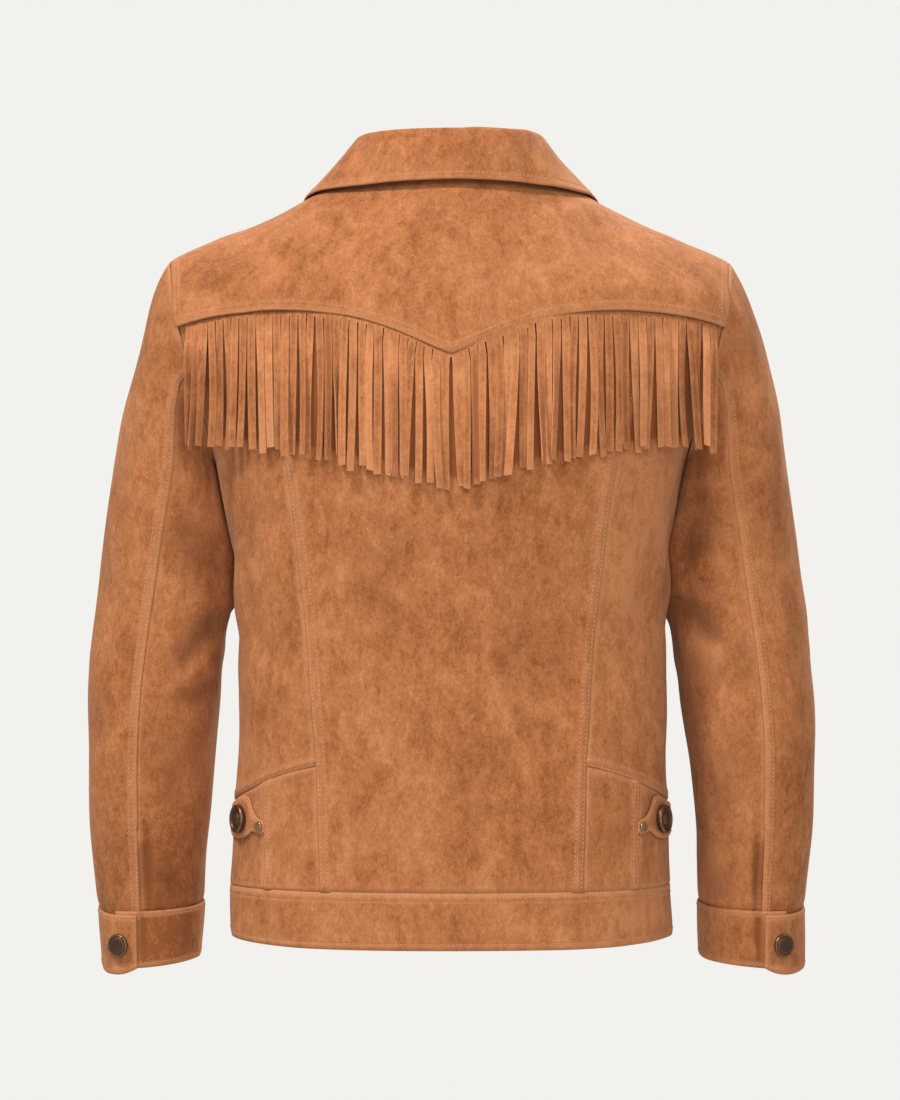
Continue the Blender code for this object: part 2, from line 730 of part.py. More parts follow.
# ---------------------------------------------------------------- collar
# q round the neck, then the fold (x, y, z) and the fall's edge (x, y, z)
COLLAR_LINES = (
    (0.00, 0.0000, 0.0680, 0.0284, 0.0000, 0.0790, -0.0165),
    (0.30, 0.0300, 0.0650, 0.0280, 0.0380, 0.0760, -0.0172),
    (0.60, 0.0570, 0.0525, 0.0272, 0.0780, 0.0620, -0.0195),
    (0.90, 0.0760, 0.0260, 0.0262, 0.1130, 0.0330, -0.0240),
    (1.12, 0.0800, 0.0010, 0.0210, 0.1256, -0.0010, -0.0262),
    (1.27, 0.0790, -0.0180, 0.0115, 0.1268, -0.0370, -0.0350),
    (1.42, 0.0740, -0.0400, -0.0010, 0.1235, -0.0740, -0.0560),
    (1.70, 0.0500, -0.0790, -0.0370, 0.0990, -0.1030, -0.1000),
    (1.95, 0.0110, -0.1010, -0.0640, 0.0620, -0.1180, -0.1340),
)
COLLAR_COLUMNS = 24
COLLAR_END = 1.93
NECK_AXIS_Y = -0.015


def neck_point(q):
    """Point of the neckline; q 0 at the back, 1 at the neck point, 2 at the front."""
    if q <= 1.0:
        return body(*neck_back(q), 1)
    return body(*neck_front(2.0 - q), -1)


def collar_profile(q):
    """Points across the collar at q > 0, from the stand's base to the fall's edge."""
    fold = Vector([table(COLLAR_LINES, q, c) for c in (1, 2, 3)])
    edge = Vector([table(COLLAR_LINES, q, c) for c in (4, 5, 6)])
    base = neck_point(q)
    inset = 0.0036 + 0.0020 * smooth((q - 1.3) / 0.4)
    axis = Vector((0.0, NECK_AXIS_Y, 0.0))
    inward = Vector((axis.x - base.x, axis.y - base.y, 0.0)).normalized()
    base = base + inward * inset + Vector((0.0, 0.0, -0.003))
    spread = Vector((edge.x - fold.x, edge.y - fold.y, 0.0)).normalized()
    inner_top = fold - spread * 0.0028 + Vector((0, 0, -0.0045))
    outer_top = fold + spread * 0.0028 + Vector((0, 0, -0.0040))
    fall = edge - outer_top
    soft = 0.0018 * (1.0 - smooth(q / 0.9)) - 0.0005
    belly = spread * soft + Vector((0, 0, soft))
    return [base, base.lerp(inner_top, 0.5), inner_top, fold, outer_top,
            outer_top + fall * 0.35 + belly, outer_top + fall * 0.70 + belly, edge]


def collar(material):
    columns = []
    for k in range(COLLAR_COLUMNS + 1):
        q = mix(-COLLAR_END, COLLAR_END, k / COLLAR_COLUMNS)
        line = collar_profile(abs(q))
        columns.append([mirror(p) for p in line] if q < 0 else line)
    grid = [[column[r] for column in columns] for r in range(len(columns[0]))]
    outer, inner = wall_of(grid)
    sheet_solid("collar", outer, inner, material)


# ---------------------------------------------------------------- fringe
STRAND_RINGS = (0.16, 0.36, 0.62, 1.0)
# x, height of the strands' cut ends
FRINGE_ENDS = (
    (0.000, -0.2745), (0.040, -0.2650), (0.085, -0.2540), (0.125, -0.2465),
    (0.165, -0.2415), (0.200, -0.2395), (0.240, -0.2400),
)


def strip_point(x, up, lift):
    """Point on the fringe strip's plane, up above the yoke edge."""
    s, h = yoke_edge(x, up)
    return body(s, h, 1) + outward(s, h, 1) * lift


def strand_roots():
    """x of the two sides of every strand, evenly spaced along the yoke edge."""
    fine = 480
    reach = 0.2232
    xs = [mix(-reach, reach, k / fine) for k in range(fine + 1)]
    points = [strip_point(x, 0.0, FRINGE_LIFT) for x in xs]
    run = [0.0]
    for a, b in zip(points, points[1:]):
        run.append(run[-1] + (b - a).length)
    rows = list(zip(run, xs))
    pitch = run[-1] / FRINGE_COUNT
    roots = []
    for k in range(FRINGE_COUNT):
        middle = (k + 0.5) * pitch
        half = pitch * STRAND_FILL / 2
        roots.append((table_linear(rows, middle - half), table_linear(rows, middle + half)))
    return roots


def table_linear(rows, at, column=1):
    for low, high in zip(rows, rows[1:]):
        if at <= high[0]:
            return mix(low[column], high[column], (at - low[0]) / (high[0] - low[0]))
    return rows[-1][column]


def strand_rings(x0, x1, k):
    """Four-cornered rings down one hanging strand."""
    x = (x0 + x1) / 2
    root = strip_point(x, -FRINGE_MARGIN, FRINGE_LIFT)
    across = strip_point(x1, -FRINGE_MARGIN, FRINGE_LIFT) - strip_point(
        x0, -FRINGE_MARGIN, FRINGE_LIFT)
    width = across.length
    across = Vector((across.x, across.y, 0.0)).normalized()
    out = Vector((0.0, 0.0, 1.0)).cross(across)
    out = out if out.y > 0 else -out
    end_z = table(FRINGE_ENDS, abs(x)) + 0.002 * math.sin(k * 2.4) + 0.0014 * math.sin(k * 5.1)
    lean = math.copysign(0.006 * smooth((abs(x) - 0.15) / 0.08), x)
    lean += 0.0011 * math.sin(k * 0.7)
    rings, y = [], root.y
    for f in STRAND_RINGS:
        z = mix(root.z, end_z, f)
        here_x = x + lean * f * f
        near_x = max(0.0, min(abs(here_x) - width / 2, 0.2))
        s, h = spot(near_x, z)
        clear = (FRINGE_LIFT + 0.0006) / max(0.55, outward(s, h, 1).y)
        y = max(body(s, h, 1).y + clear, y - 0.0016)
        centre = Vector((here_x, y, z))
        half, deep = across * width / 2, out * STRAND_THICK / 2
        rings.append([centre - half + deep, centre + half + deep, centre + half - deep,
                      centre - half - deep])
    return rings


def fringe(material):
    """One comb: a narrow strip under the yoke edge with every strand grown from it."""
    roots = strand_roots()
    xs = [x for root in roots for x in root]
    points, faces = [], []

    def add(point):
        points.append(point)
        return len(points) - 1

    half = STRAND_THICK / 2
    corners = []
    for x in xs:
        corners.append([add(strip_point(x, up, FRINGE_LIFT + side * half))
                        for up, side in ((FRINGE_TOP, 1), (-FRINGE_MARGIN, 1),
                                         (-FRINGE_MARGIN, -1), (FRINGE_TOP, -1))])
    for a, b in zip(corners, corners[1:]):
        faces += [(a[0], b[0], b[1], a[1]), (a[3], a[2], b[2], b[3]), (a[0], a[3], b[3], b[0])]
    faces += [tuple(corners[0]), tuple(reversed(corners[-1]))]
    for k in range(FRINGE_COUNT):
        a, b = corners[2 * k], corners[2 * k + 1]
        if 2 * k + 2 < len(corners):
            c = corners[2 * k + 2]
            faces.append((b[1], c[1], c[2], b[2]))
        ring = [a[1], b[1], b[2], a[2]]
        for corner_points in strand_rings(*roots[k], k):
            lower = [add(p) for p in corner_points]
            for m in range(4):
                n = (m + 1) % 4
                faces.append((ring[m], ring[n], lower[n], lower[m]))
            ring = lower
        faces.append(tuple(ring))
    return make_object("fringe", points, faces, material)


# ---------------------------------------------------------------- tabs and buttons
# share of the tab's length from its tip, then its upper and lower edge heights
TAB_EDGES = (
    (0.000, -0.5530, -0.5595), (0.020, -0.5502, -0.5615), (0.050, -0.5492, -0.5618),
    (0.085, -0.5482, -0.5602), (0.130, -0.5440, -0.5592), (0.165, -0.5370, -0.5612),
    (0.200, -0.5315, -0.5640), (0.270, -0.5300, -0.5662), (0.350, -0.5325, -0.5670),
    (0.450, -0.5360, -0.5665), (0.700, -0.5400, -0.5645), (1.000, -0.5410, -0.5620),
)
TAB_TIP_X = 0.1545
TAB_END = 1.17           # tab ends past the side seam, on the front
HIP_BUTTON_AT = (0.775, -0.5505)
HIP_STUD_AT = (0.1578, -0.5557)
TAB_LIFT = 0.0022


def around(w, z, lift):
    """Point round the left side at height z; w 0 at the back middle, 1 at the side."""
    level = (z - ARMPIT_Z) / LEVEL_STEP
    s, face = (w, 1) if w <= 1.0 else (2.0 - w, -1)
    return body(s, level, face) + outward(s, level, face) * lift


def hip_tabs(material):
    tip = side_of(TAB_TIP_X, (-0.555 - ARMPIT_Z) / LEVEL_STEP)
    shares = [row[0] for row in TAB_EDGES[:-2]] + [0.57, 0.70, 0.80, 0.90, 1.0]
    outer, inner = [], []
    for r in (0.0, 0.5, 1.0):
        lines = ([], [])
        for share in shares:
            high, low = (table_linear(TAB_EDGES, share, c) for c in (1, 2))
            w = mix(tip, TAB_END, share)
            for line, off in zip(lines, (WALL / 2, -WALL / 2)):
                line.append(around(w, mix(high, low, r), TAB_LIFT + off))
        outer.append(lines[0])
        inner.append(lines[1])
    pair("hip_tab", outer, inner, material)


# share of the radius, share of the thickness
DOMED = ((0.94, 0.0), (1.0, 0.45), (0.88, 0.95), (0.66, 0.84))
STUD = ((0.95, 0.0), (1.0, 0.45), (0.72, 0.95))


def button(name, centre, normal, radius, thick, profile, material, segments=16):
    """Turned button standing on centre, its face along normal."""
    normal = normal.normalized()
    side = normal.cross(Vector((0.0, 0.0, 1.0))).normalized()
    up = side.cross(normal)
    points, faces = [], []
    for r, t in profile:
        for k in range(segments):
            a = 2 * math.pi * k / segments
            points.append(centre + normal * thick * t
                          + (side * math.cos(a) + up * math.sin(a)) * radius * r)
    last = len(profile) - 1
    for j in range(last):
        for k in range(segments):
            n = (k + 1) % segments
            faces.append((j * segments + k, j * segments + n, (j + 1) * segments + n,
                          (j + 1) * segments + k))
    faces.append(tuple(range(segments)))
    points.append(centre + normal * thick * (profile[-1][1] + 0.03))
    tip = len(points) - 1
    for k in range(segments):
        faces.append((last * segments + k, last * segments + (k + 1) % segments, tip))
    obj = make_object(name, points, faces, material)
    for polygon in obj.data.polygons:
        polygon.use_smooth = len(polygon.vertices) < segments
    return obj


def button_pair(name, centre, normal, *rest):
    button(name + "_left", centre, normal, *rest)
    button(name + "_right", mirror(centre), mirror(normal), *rest)


FRONT_BUTTON_Z = (-0.125, -0.250, -0.375, -0.500, -0.629)


def buttons(dark, bright):
    clear = WALL / 2 + 0.0004
    lift = TAB_LIFT + clear
    here, there = around(*HIP_BUTTON_AT, lift), around(*HIP_BUTTON_AT, 0.0)
    button_pair("hip_button", here, here - there, 0.0120, 0.0048, DOMED, dark)
    x, z = HIP_STUD_AT
    w = side_of(x, (z - ARMPIT_Z) / LEVEL_STEP)
    here, there = around(w, z, lift), around(w, z, 0.0)
    button_pair("hip_stud", here, here - there, 0.0042, 0.0020, STUD, bright, 14)
    here, there = cuff_point(*CUFF_SNAP_AT, clear + 0.0005), cuff_point(*CUFF_SNAP_AT, 0.0)
    button_pair("cuff_snap", here, here - there, 0.0096, 0.0040, DOMED, dark)
    for k, z in enumerate(FRONT_BUTTON_Z):
        s, h = spot(0.0, z)
        normal = outward(s, h, -1)
        centre = body(s, h, -1) + normal * (LAP_LIFT + clear + 0.0002)
        button("front_button_%d" % (k + 1), centre, normal, 0.0100, 0.0042, DOMED, dark)


def main():
    for obj in list(bpy.data.objects):
        bpy.data.objects.remove(obj, do_unlink=True)
    body_suede = suede("suede_body", (0.482, 0.200, 0.084))
    fringe_suede = suede("suede_fringe", (0.460, 0.186, 0.078))
    dark = bronze("antique_bronze", (0.055, 0.032, 0.020))
    bright = bronze("old_brass", (0.300, 0.190, 0.090))
    back_yoke(body_suede)
    back_center_panel(body_suede)
    back_side_panels(body_suede)
    back_hip_panels(body_suede)
    side_hip_panels(body_suede)
    fronts(body_suede)
    hem_band(body_suede)
    sleeves(body_suede)
    cuffs(body_suede)
    collar(body_suede)
    hip_tabs(body_suede)
    fringe(fringe_suede)
    buttons(dark, bright)


main()
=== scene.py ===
"""Fringed buckskin jacket: suede panels, hanging strip fringe, stitching and trim."""
import math
import random

import bmesh
import bpy
import numpy as np
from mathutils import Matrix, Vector, kdtree
from mathutils.bvhtree import BVHTree


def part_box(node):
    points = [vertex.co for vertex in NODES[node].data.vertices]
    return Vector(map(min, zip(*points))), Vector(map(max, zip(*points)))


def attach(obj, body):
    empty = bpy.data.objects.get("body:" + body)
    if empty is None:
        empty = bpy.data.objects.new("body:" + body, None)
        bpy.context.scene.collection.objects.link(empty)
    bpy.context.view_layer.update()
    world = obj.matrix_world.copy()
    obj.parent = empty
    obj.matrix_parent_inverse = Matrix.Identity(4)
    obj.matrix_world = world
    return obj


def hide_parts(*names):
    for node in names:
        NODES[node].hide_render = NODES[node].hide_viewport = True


bl_info = {
    "name": "Fringed Buckskin Jacket",
    "version": (1, 0, 0),
    "blender": (4, 5, 0),
    "location": "View3D > Sidebar > Jacket",
    "description": "Suede cloth, cut fringe, topstitching and buttons on the jacket's frame",
    "category": "Object",
}

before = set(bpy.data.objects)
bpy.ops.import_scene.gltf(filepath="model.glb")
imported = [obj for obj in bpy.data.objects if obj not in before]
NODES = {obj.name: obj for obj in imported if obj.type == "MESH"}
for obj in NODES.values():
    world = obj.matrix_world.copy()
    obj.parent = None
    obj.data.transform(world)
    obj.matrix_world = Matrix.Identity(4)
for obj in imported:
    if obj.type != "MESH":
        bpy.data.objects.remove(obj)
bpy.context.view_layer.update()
SUEDE_WALL = 0.0014


# ---------------------------------------------------------------- settings
def length(name, text, default, low, high):
    return bpy.props.FloatProperty(name=name, description=text, default=default, min=low,
                                   max=high, subtype="DISTANCE", unit="LENGTH", precision=4)


def share(name, text, default, low=0.0, high=2.0):
    return bpy.props.FloatProperty(name=name, description=text, default=default, min=low,
                                   max=high, subtype="FACTOR")


def tint(name, text, default):
    return bpy.props.FloatVectorProperty(name=name, description=text, default=default,
                                         size=3, min=0.0, max=1.0, subtype="COLOR")


class JacketSuede(bpy.types.PropertyGroup):
    """Colours and nap of the suede."""
    base: tint("Suede", "Main colour of the nap", (0.326, 0.113, 0.038))
    # the dark and light ends also serve as painted shade and painted light
    dark: tint("Brushed dark", "Nap brushed away from the light", (0.200, 0.060, 0.017))
    light: tint("Brushed light", "Nap brushed towards the light", (0.440, 0.174, 0.071))
    edge: tint("Worn edge", "Rubbed edges and seams", (0.470, 0.195, 0.086))
    thread: tint("Thread", "Topstitching thread", (0.560, 0.262, 0.125))
    flesh: tint("Inner side", "Inner side of the hide", (0.270, 0.104, 0.044))
    cloud: share("Clouding", "Strength of the brushed patches", 1.0)
    grain: share("Grain", "Strength of the fine nap", 1.0)


class JacketCloth(bpy.types.PropertyGroup):
    """Creases, edges and stitches of the cloth."""
    crease: share("Creases", "Depth of the creases", 1.0)
    roll: length("Edge roll", "How far a panel's edge turns in", 0.0006, 0.0, 0.003)
    stitch: length("Stitch length", "Length of one stitch", 0.0026, 0.001, 0.006)
    pitch: length("Stitch pitch", "Distance from stitch to stitch", 0.0036, 0.002, 0.01)
    thread_width: length("Thread width", "Thickness of the thread", 0.0008, 0.0002, 0.002)


class JacketFringe(bpy.types.PropertyGroup):
    """The cut strips under the yoke."""
    strands: bpy.props.IntProperty(name="Strands", description="Number of cut strips",
                                   default=64, min=8, max=250)
    twist: share("Twist", "How far the strips turn on their way down", 1.0)
    stray: share("Stray", "How far the strips lean and clump", 1.0)


class JacketTrim(bpy.types.PropertyGroup):
    """Buttons, snaps and studs."""
    bronze: tint("Antique bronze", "Dark metal of the buttons", (0.058, 0.025, 0.014))
    rubbed: tint("Rubbed bronze", "Worn rims of the buttons", (0.200, 0.100, 0.050))
    brass: tint("Old brass", "Small studs", (0.360, 0.215, 0.110))


class JacketStage(bpy.types.PropertyGroup):
    """Floor, lights and camera."""
    backdrop: tint("Backdrop", "Floor and surroundings", (0.888, 0.880, 0.847))
    key: bpy.props.FloatProperty(name="Key light", description="Power of the main light",
                                 default=129.0, min=0.0, max=1000.0, unit="POWER")
    fill: bpy.props.FloatProperty(name="Fill light", description="Power of the soft light",
                                  default=42.0, min=0.0, max=1000.0, unit="POWER")
    ambient: share("Ambient", "Light given by the surroundings, against their look", 0.58)
    paint: share("Floor paint", "Colour of the floor against the backdrop", 0.60)
    lens: bpy.props.FloatProperty(name="Lens", description="Focal length in millimetres",
                                  default=134.8, min=20.0, max=400.0)


GROUPS = (("jacket_suede", JacketSuede), ("jacket_cloth", JacketCloth),
          ("jacket_fringe", JacketFringe), ("jacket_trim", JacketTrim),
          ("jacket_stage", JacketStage))


# ---------------------------------------------------------------- node expressions
class Wire:
    """A value in a material, used like a number."""

    def __init__(self, graph, socket):
        self.graph, self.socket = graph, socket

    def math(self, operation, *others):
        return self.graph.node("ShaderNodeMath", {"operation": operation},
                               dict(enumerate((self,) + others)))

    def __add__(self, other):
        return self.math("ADD", other)

    def __sub__(self, other):
        return self.math("SUBTRACT", other)

    def __mul__(self, other):
        return self.math("MULTIPLY", other)

    __radd__ = __add__
    __rmul__ = __mul__

    def clamp(self, low=0.0, high=1.0):
        return self.graph.node("ShaderNodeClamp", {}, {"Value": self, "Min": low, "Max": high},
                               "Result")

    def ramp(self, low, high, bottom=0.0, top=1.0):
        """Smooth step of this value from low to high."""
        return self.graph.node("ShaderNodeMapRange", {"interpolation_type": "SMOOTHSTEP"},
                               {"Value": self, "From Min": low, "From Max": high,
                                "To Min": bottom, "To Max": top}, "Result")


class Graph:
    """A new material and its nodes."""

    def __init__(self, name):
        self.material = bpy.data.materials.new(name)
        self.material.use_nodes = True
        self.tree = self.material.node_tree
        self.shader = self.tree.nodes["Principled BSDF"]
        self.place = self.node("ShaderNodeTexCoord", {}, {}, "Object")

    def node(self, kind, settings, sockets, output=0):
        node = self.tree.nodes.new(kind)
        for key, value in settings.items():
            setattr(node, key, value)
        for key, value in sockets.items():
            if isinstance(value, Wire):
                self.tree.links.new(value.socket, node.inputs[key])
            else:
                node.inputs[key].default_value = value
        return Wire(self, node.outputs[output])

    def noise(self, scale, detail=2.0, rough=0.5, distortion=0.0, at=None):
        return self.node("ShaderNodeTexNoise", {},
                         {"Vector": at or self.place, "Scale": scale, "Detail": detail,
                          "Roughness": rough, "Distortion": distortion}, "Fac")

    def stretched(self, scale):
        return self.node("ShaderNodeMapping", {}, {"Vector": self.place, "Scale": scale})

    def blend(self, factor, a, b):
        def colour(value):
            return value if isinstance(value, Wire) else (*value, 1.0)
        return self.node("ShaderNodeMix", {"data_type": "RGBA"},
                         {0: factor, 6: colour(a), 7: colour(b)}, 2)

    def attribute(self, name):
        return self.node("ShaderNodeAttribute", {"attribute_name": name}, {}, "Fac")

    def bump(self, height, distance, strength=1.0, under=None):
        sockets = {"Height": height, "Distance": distance, "Strength": strength}
        if under is not None:
            sockets["Normal"] = under
        return self.node("ShaderNodeBump", {}, sockets, "Normal")

    def drive(self, **sockets):
        """Link or set the shader's own sockets, named with underscores for spaces."""
        for key, value in sockets.items():
            socket = self.shader.inputs[key.replace("_", " ")]
            if isinstance(value, Wire):
                self.tree.links.new(value.socket, socket)
            elif isinstance(value, tuple) and len(value) == 3:
                socket.default_value = (*value, 1.0)
            else:
                socket.default_value = value
        return self.material


# ---------------------------------------------------------------- finishes
def suede_finish(name, shade=1.0, strip=False, flesh=False):
    """Napped hide: brushed clouds, fine grain, rubbed edges, painted light and shade, and a soft
    bump.
    """
    tone = bpy.context.scene.jacket_suede
    g = Graph(name)
    edge = g.attribute("edge")
    painted_shade = g.attribute("painted_shade")
    drape = g.stretched((1.0, 1.0, 0.62))
    broad = g.noise(7.0, 2.0, 0.5, 0.1, drape)
    cloud = g.noise(30.0, 3.0, 0.60, 0.3, drape)
    patch = g.noise(118.0, 4.0, 0.66, 0.4, drape)
    fine = g.noise(380.0, 4.0, 0.80, 0.0, drape)
    speck = g.noise(1000.0, 2.0, 0.85)
    # the nap lies one way or the other in soft patches
    nap = (cloud - 0.5) * 0.95 + (broad - 0.5) * 0.7 + (patch - 0.5) * 1.1
    # the last term adds brushed nap patches together with painted light and shade
    level = (nap * float(tone.cloud) + (fine - 0.5) * 1.2 * float(tone.grain)
             + (speck - 0.5) * 1.15 * float(tone.grain)
             + g.attribute("nap_and_painted_light") * (cloud * 1.1 + 0.45) + 0.5)
    if strip:
        lines = g.noise(1.0, 3.0, 0.6, at=g.stretched((900.0, 900.0, 45.0)))
        level = level + (lines - 0.5) * 0.35 + g.attribute("tone") * 0.24
    dark, base, light = (tuple(c * shade for c in colour)
                         for colour in (tone.dark, tone.base, tone.light))
    if flesh:
        dark, base, light = (tuple(c * k for c in tone.flesh) for k in (0.75, 1.0, 1.18))
    low = g.blend(level.ramp(0.02, 0.56), dark, base)
    colour = g.blend(level.ramp(0.46, 1.0), low, light)
    worn = tuple(c * shade for c in tone.edge)
    colour = g.blend((edge * 0.55 * (0.55 + patch * 0.9)).clamp(), colour, worn)
    # painted shade: folds and the tops of the strips darken towards a deep brown
    colour = g.blend((painted_shade * (0.6 + fine * 0.5)).clamp(), colour, tuple(c * 0.55 for c in dark))
    pile = fine * 0.6 + speck * 0.4
    normal = g.bump(pile, 0.0006, 0.6)
    if not strip and not flesh:
        seams = [g.attribute(key).math("ABSOLUTE") for key in ("seam_a", "seam_b", "seam_c")]
        nearest = seams[0].math("MINIMUM", seams[1]).math("MINIMUM", seams[2])
        groove = nearest.ramp(0.0002, 0.0016, 1.0, 0.0)
        around = nearest.ramp(0.0005, 0.0060, 1.0, 0.0)
        step = g.attribute("welt").ramp(-0.0004, 0.0010, 1.0, 0.0)
        pucker = g.noise(165.0, 2.0, 0.5)
        relief = groove * -0.55 + step * 0.45 + (pucker - 0.5) * around * 0.9
        normal = g.bump(relief, 0.0009, 0.75, normal)
        rubbed = (nearest.ramp(0.0006, 0.0024, 1.0, 0.0) * (0.35 + pucker * 0.5)
                  - groove * 0.25).clamp()
        colour = g.blend((rubbed * 0.7).clamp(), colour, worn)
    normal = g.bump(patch * 0.5 + cloud * 0.5, 0.0016, 0.35, normal)
    if strip:
        normal = g.bump(lines, 0.0006, 0.4, normal)
    g.drive(Base_Color=colour, Roughness=(0.90 + (fine - 0.5) * 0.12).clamp(), Normal=normal,
            Metallic=0.0, Specular_IOR_Level=0.16, Sheen_Weight=0.14, Sheen_Roughness=0.55,
            Sheen_Tint=(0.95, 0.62, 0.40))
    return g.material


def thread_finish(name):
    """Twisted sewing thread, a little lighter than the hide."""
    tone = bpy.context.scene.jacket_suede
    g = Graph(name)
    twist = g.noise(1500.0, 2.0, 0.6)
    vary = g.noise(60.0, 2.0, 0.5)
    thread = tuple(tone.thread)
    colour = g.blend(twist.ramp(0.3, 0.7), tuple(c * 0.72 for c in thread),
                     tuple(c * 1.12 for c in thread))
    colour = g.blend((vary - 0.35).clamp() * 0.5, colour, tuple(tone.dark))
    g.drive(Base_Color=colour, Roughness=(0.62 + twist * 0.2), Metallic=0.0,
            Normal=g.bump(twist, 0.0002, 0.5), Specular_IOR_Level=0.25)
    return g.material


def metal_finish(name, deep, rub, rough):
    """Cast metal, dark in the hollows and rubbed on raised rims."""
    g = Graph(name)
    rim = g.attribute("rim")
    pit = g.noise(900.0, 4.0, 0.65)
    stain = g.noise(210.0, 4.0, 0.6, 0.6)
    amount = (rim * 0.85 + (stain - 0.5) * 0.55 + (pit - 0.5) * 0.35).ramp(0.25, 0.95)
    colour = g.blend(amount, tuple(deep), tuple(rub))
    g.drive(Base_Color=colour, Metallic=(0.55 + amount * 0.4).clamp(),
            Roughness=(rough + (pit - 0.5) * 0.25 - amount * 0.12).clamp(0.12, 1.0),
            Normal=g.bump(pit * 0.5 + stain * 0.5, 0.00025, 0.5))
    return g.material


FINISHES = {}


def finish_of(name):
    """The jacket's materials, each made once."""
    if name not in FINISHES:
        trim = bpy.context.scene.jacket_trim
        makers = {
            "suede": lambda: suede_finish("buckskin"),
            # painted light: the strips' colours are made 9% lighter than the body's
            "suede_fringe": lambda: suede_finish("buckskin_strips", 1.09, strip=True),
            "suede_flesh": lambda: suede_finish("buckskin_flesh_side", 1.0, flesh=True),
            "thread": lambda: thread_finish("topstitch_thread"),
            "bronze": lambda: metal_finish("antique_bronze_cast", trim.bronze, trim.rubbed, 0.42),
            "brass": lambda: metal_finish("old_brass_cast", trim.rubbed, trim.brass, 0.34),
        }
        FINISHES[name] = makers[name]()
    return FINISHES[name]


# ---------------------------------------------------------------- meshes
MERGE = 1e-6                      # points nearer than this are one
WALL_SLACK = 5e-6                 # how far an edge across the wall may miss its thickness
CUFF_WALL_SLACK = 1e-4
SLEEVE_AXIS = (0.2555, -0.040)    # x and y of the left sleeve's middle line
BODY_MIDDLE = (0.0, 0.0, -0.35)
SHARP_CORNER, SOFT_CORNER = math.radians(45), math.radians(30)
SOFT_CREASE = 0.75


def smooth(t):
    t = np.clip(t, 0.0, 1.0)
    return t * t * (3.0 - 2.0 * t)


def fade(values, start, width):
    """Smooth step from 0 at the start to 1 a width further on."""
    return smooth((values - start) / width)


def mesh_of(name, bm):
    mesh = bpy.data.meshes.new(name)
    bm.to_mesh(mesh)
    bm.free()
    return mesh


def put_in_order(bm):
    """Order edges and faces by their vertices, since extruding leaves them in any order."""
    bm.verts.index_update()
    count = len(bm.verts)

    def place(part):
        numbers = sorted(vert.index for vert in part.verts)
        return sum(number / count ** k for k, number in enumerate(numbers))

    bm.edges.sort(key=place)
    bm.faces.sort(key=place)


def show(name, mesh, *finishes):
    """Put a mesh into the scene as one object, with its finishes."""
    mesh.name = name
    mesh.materials.clear()
    for finish in finishes:
        mesh.materials.append(finish_of(finish))
    obj = bpy.data.objects.new(name, mesh)
    bpy.context.scene.collection.objects.link(obj)
    return obj


def note(mesh, name, values):
    """Keep one value a vertex for the finish to read."""
    layer = mesh.attributes.new(name, "FLOAT", "POINT")
    layer.data.foreach_set("value", np.asarray(values, np.float32))


def rim_edges(mesh):
    """Vertex pairs of the edges that only one face uses."""
    used = {}
    for polygon in mesh.polygons:
        for key in polygon.edge_keys:
            used[key] = used.get(key, 0) + 1
    return [key for key, times in used.items() if times == 1]


def point_tree(points):
    """Search tree of points by their order."""
    tree = kdtree.KDTree(len(points))
    for k, point in enumerate(points):
        tree.insert(point, k)
    tree.balance()
    return tree


def cloth_tree(cloths):
    """Search tree of the outer sides of some cloth pieces together."""
    points, polygons = [], []
    for cloth in cloths:
        base = len(points)
        points += [tuple(point) for point in cloth.points]
        polygons += [tuple(base + v for v in polygon.vertices)
                     for polygon in cloth.mesh.polygons]
    return BVHTree.FromPolygons(points, polygons)


def run_of(line):
    """Length run at every point of a line."""
    return np.concatenate([[0.0], np.cumsum(np.linalg.norm(np.diff(line, axis=0), axis=1))])


def read_along(at, reach, values):
    """Rows of three values read off at lengths along a line."""
    return np.stack([np.interp(at, reach, values[:, c]) for c in range(3)], axis=-1)


def settled(obj):
    """Mesh of an object with its modifiers applied."""
    graph = bpy.context.evaluated_depsgraph_get()
    return bpy.data.meshes.new_from_object(obj.evaluated_get(graph))


def lay_quads(bm):
    """Join a sheet's triangles two by two into the rows it was laid out in.

    Inside the sheet four quads meet at a vertex, along its edge two and at a corner one;
    where only one is left, the triangles there make it.
    """
    def spread(vert):
        a, b = (edge.other_vert(vert).co - vert.co for edge in vert.link_edges
                if edge.is_boundary)
        return a.angle(b)

    left = {vert: 2 if vert.is_boundary else 4 for vert in bm.verts}
    rim = [vert for vert in bm.verts if vert.is_boundary]
    todo = [vert for vert in rim if len(vert.link_faces) == 1] or [
        min((vert for vert in rim if len(vert.link_faces) == 2), key=spread)]
    left.update((vert, 1) for vert in todo)
    loose, inner = set(bm.faces), []
    while todo:
        vert = todo.pop()
        pair = [face for face in vert.link_faces if face in loose]
        if left[vert] == 1 and len(pair) == 1:
            across = next(edge for edge in pair[0].edges if vert not in edge.verts)
            pair = [face for face in across.link_faces if face in loose]
        if left[vert] != 1 or len(pair) != 2:
            continue
        loose.difference_update(pair)
        inner += [edge for edge in pair[0].edges if edge in pair[1].edges[:]]
        for corner in dict.fromkeys([*pair[0].verts, *pair[1].verts]):
            left[corner] -= 1
            todo.append(corner)
    if loose:
        raise RuntimeError("a sheet is not laid out in rows")
    bmesh.ops.dissolve_edges(bm, edges=inner, use_verts=False)


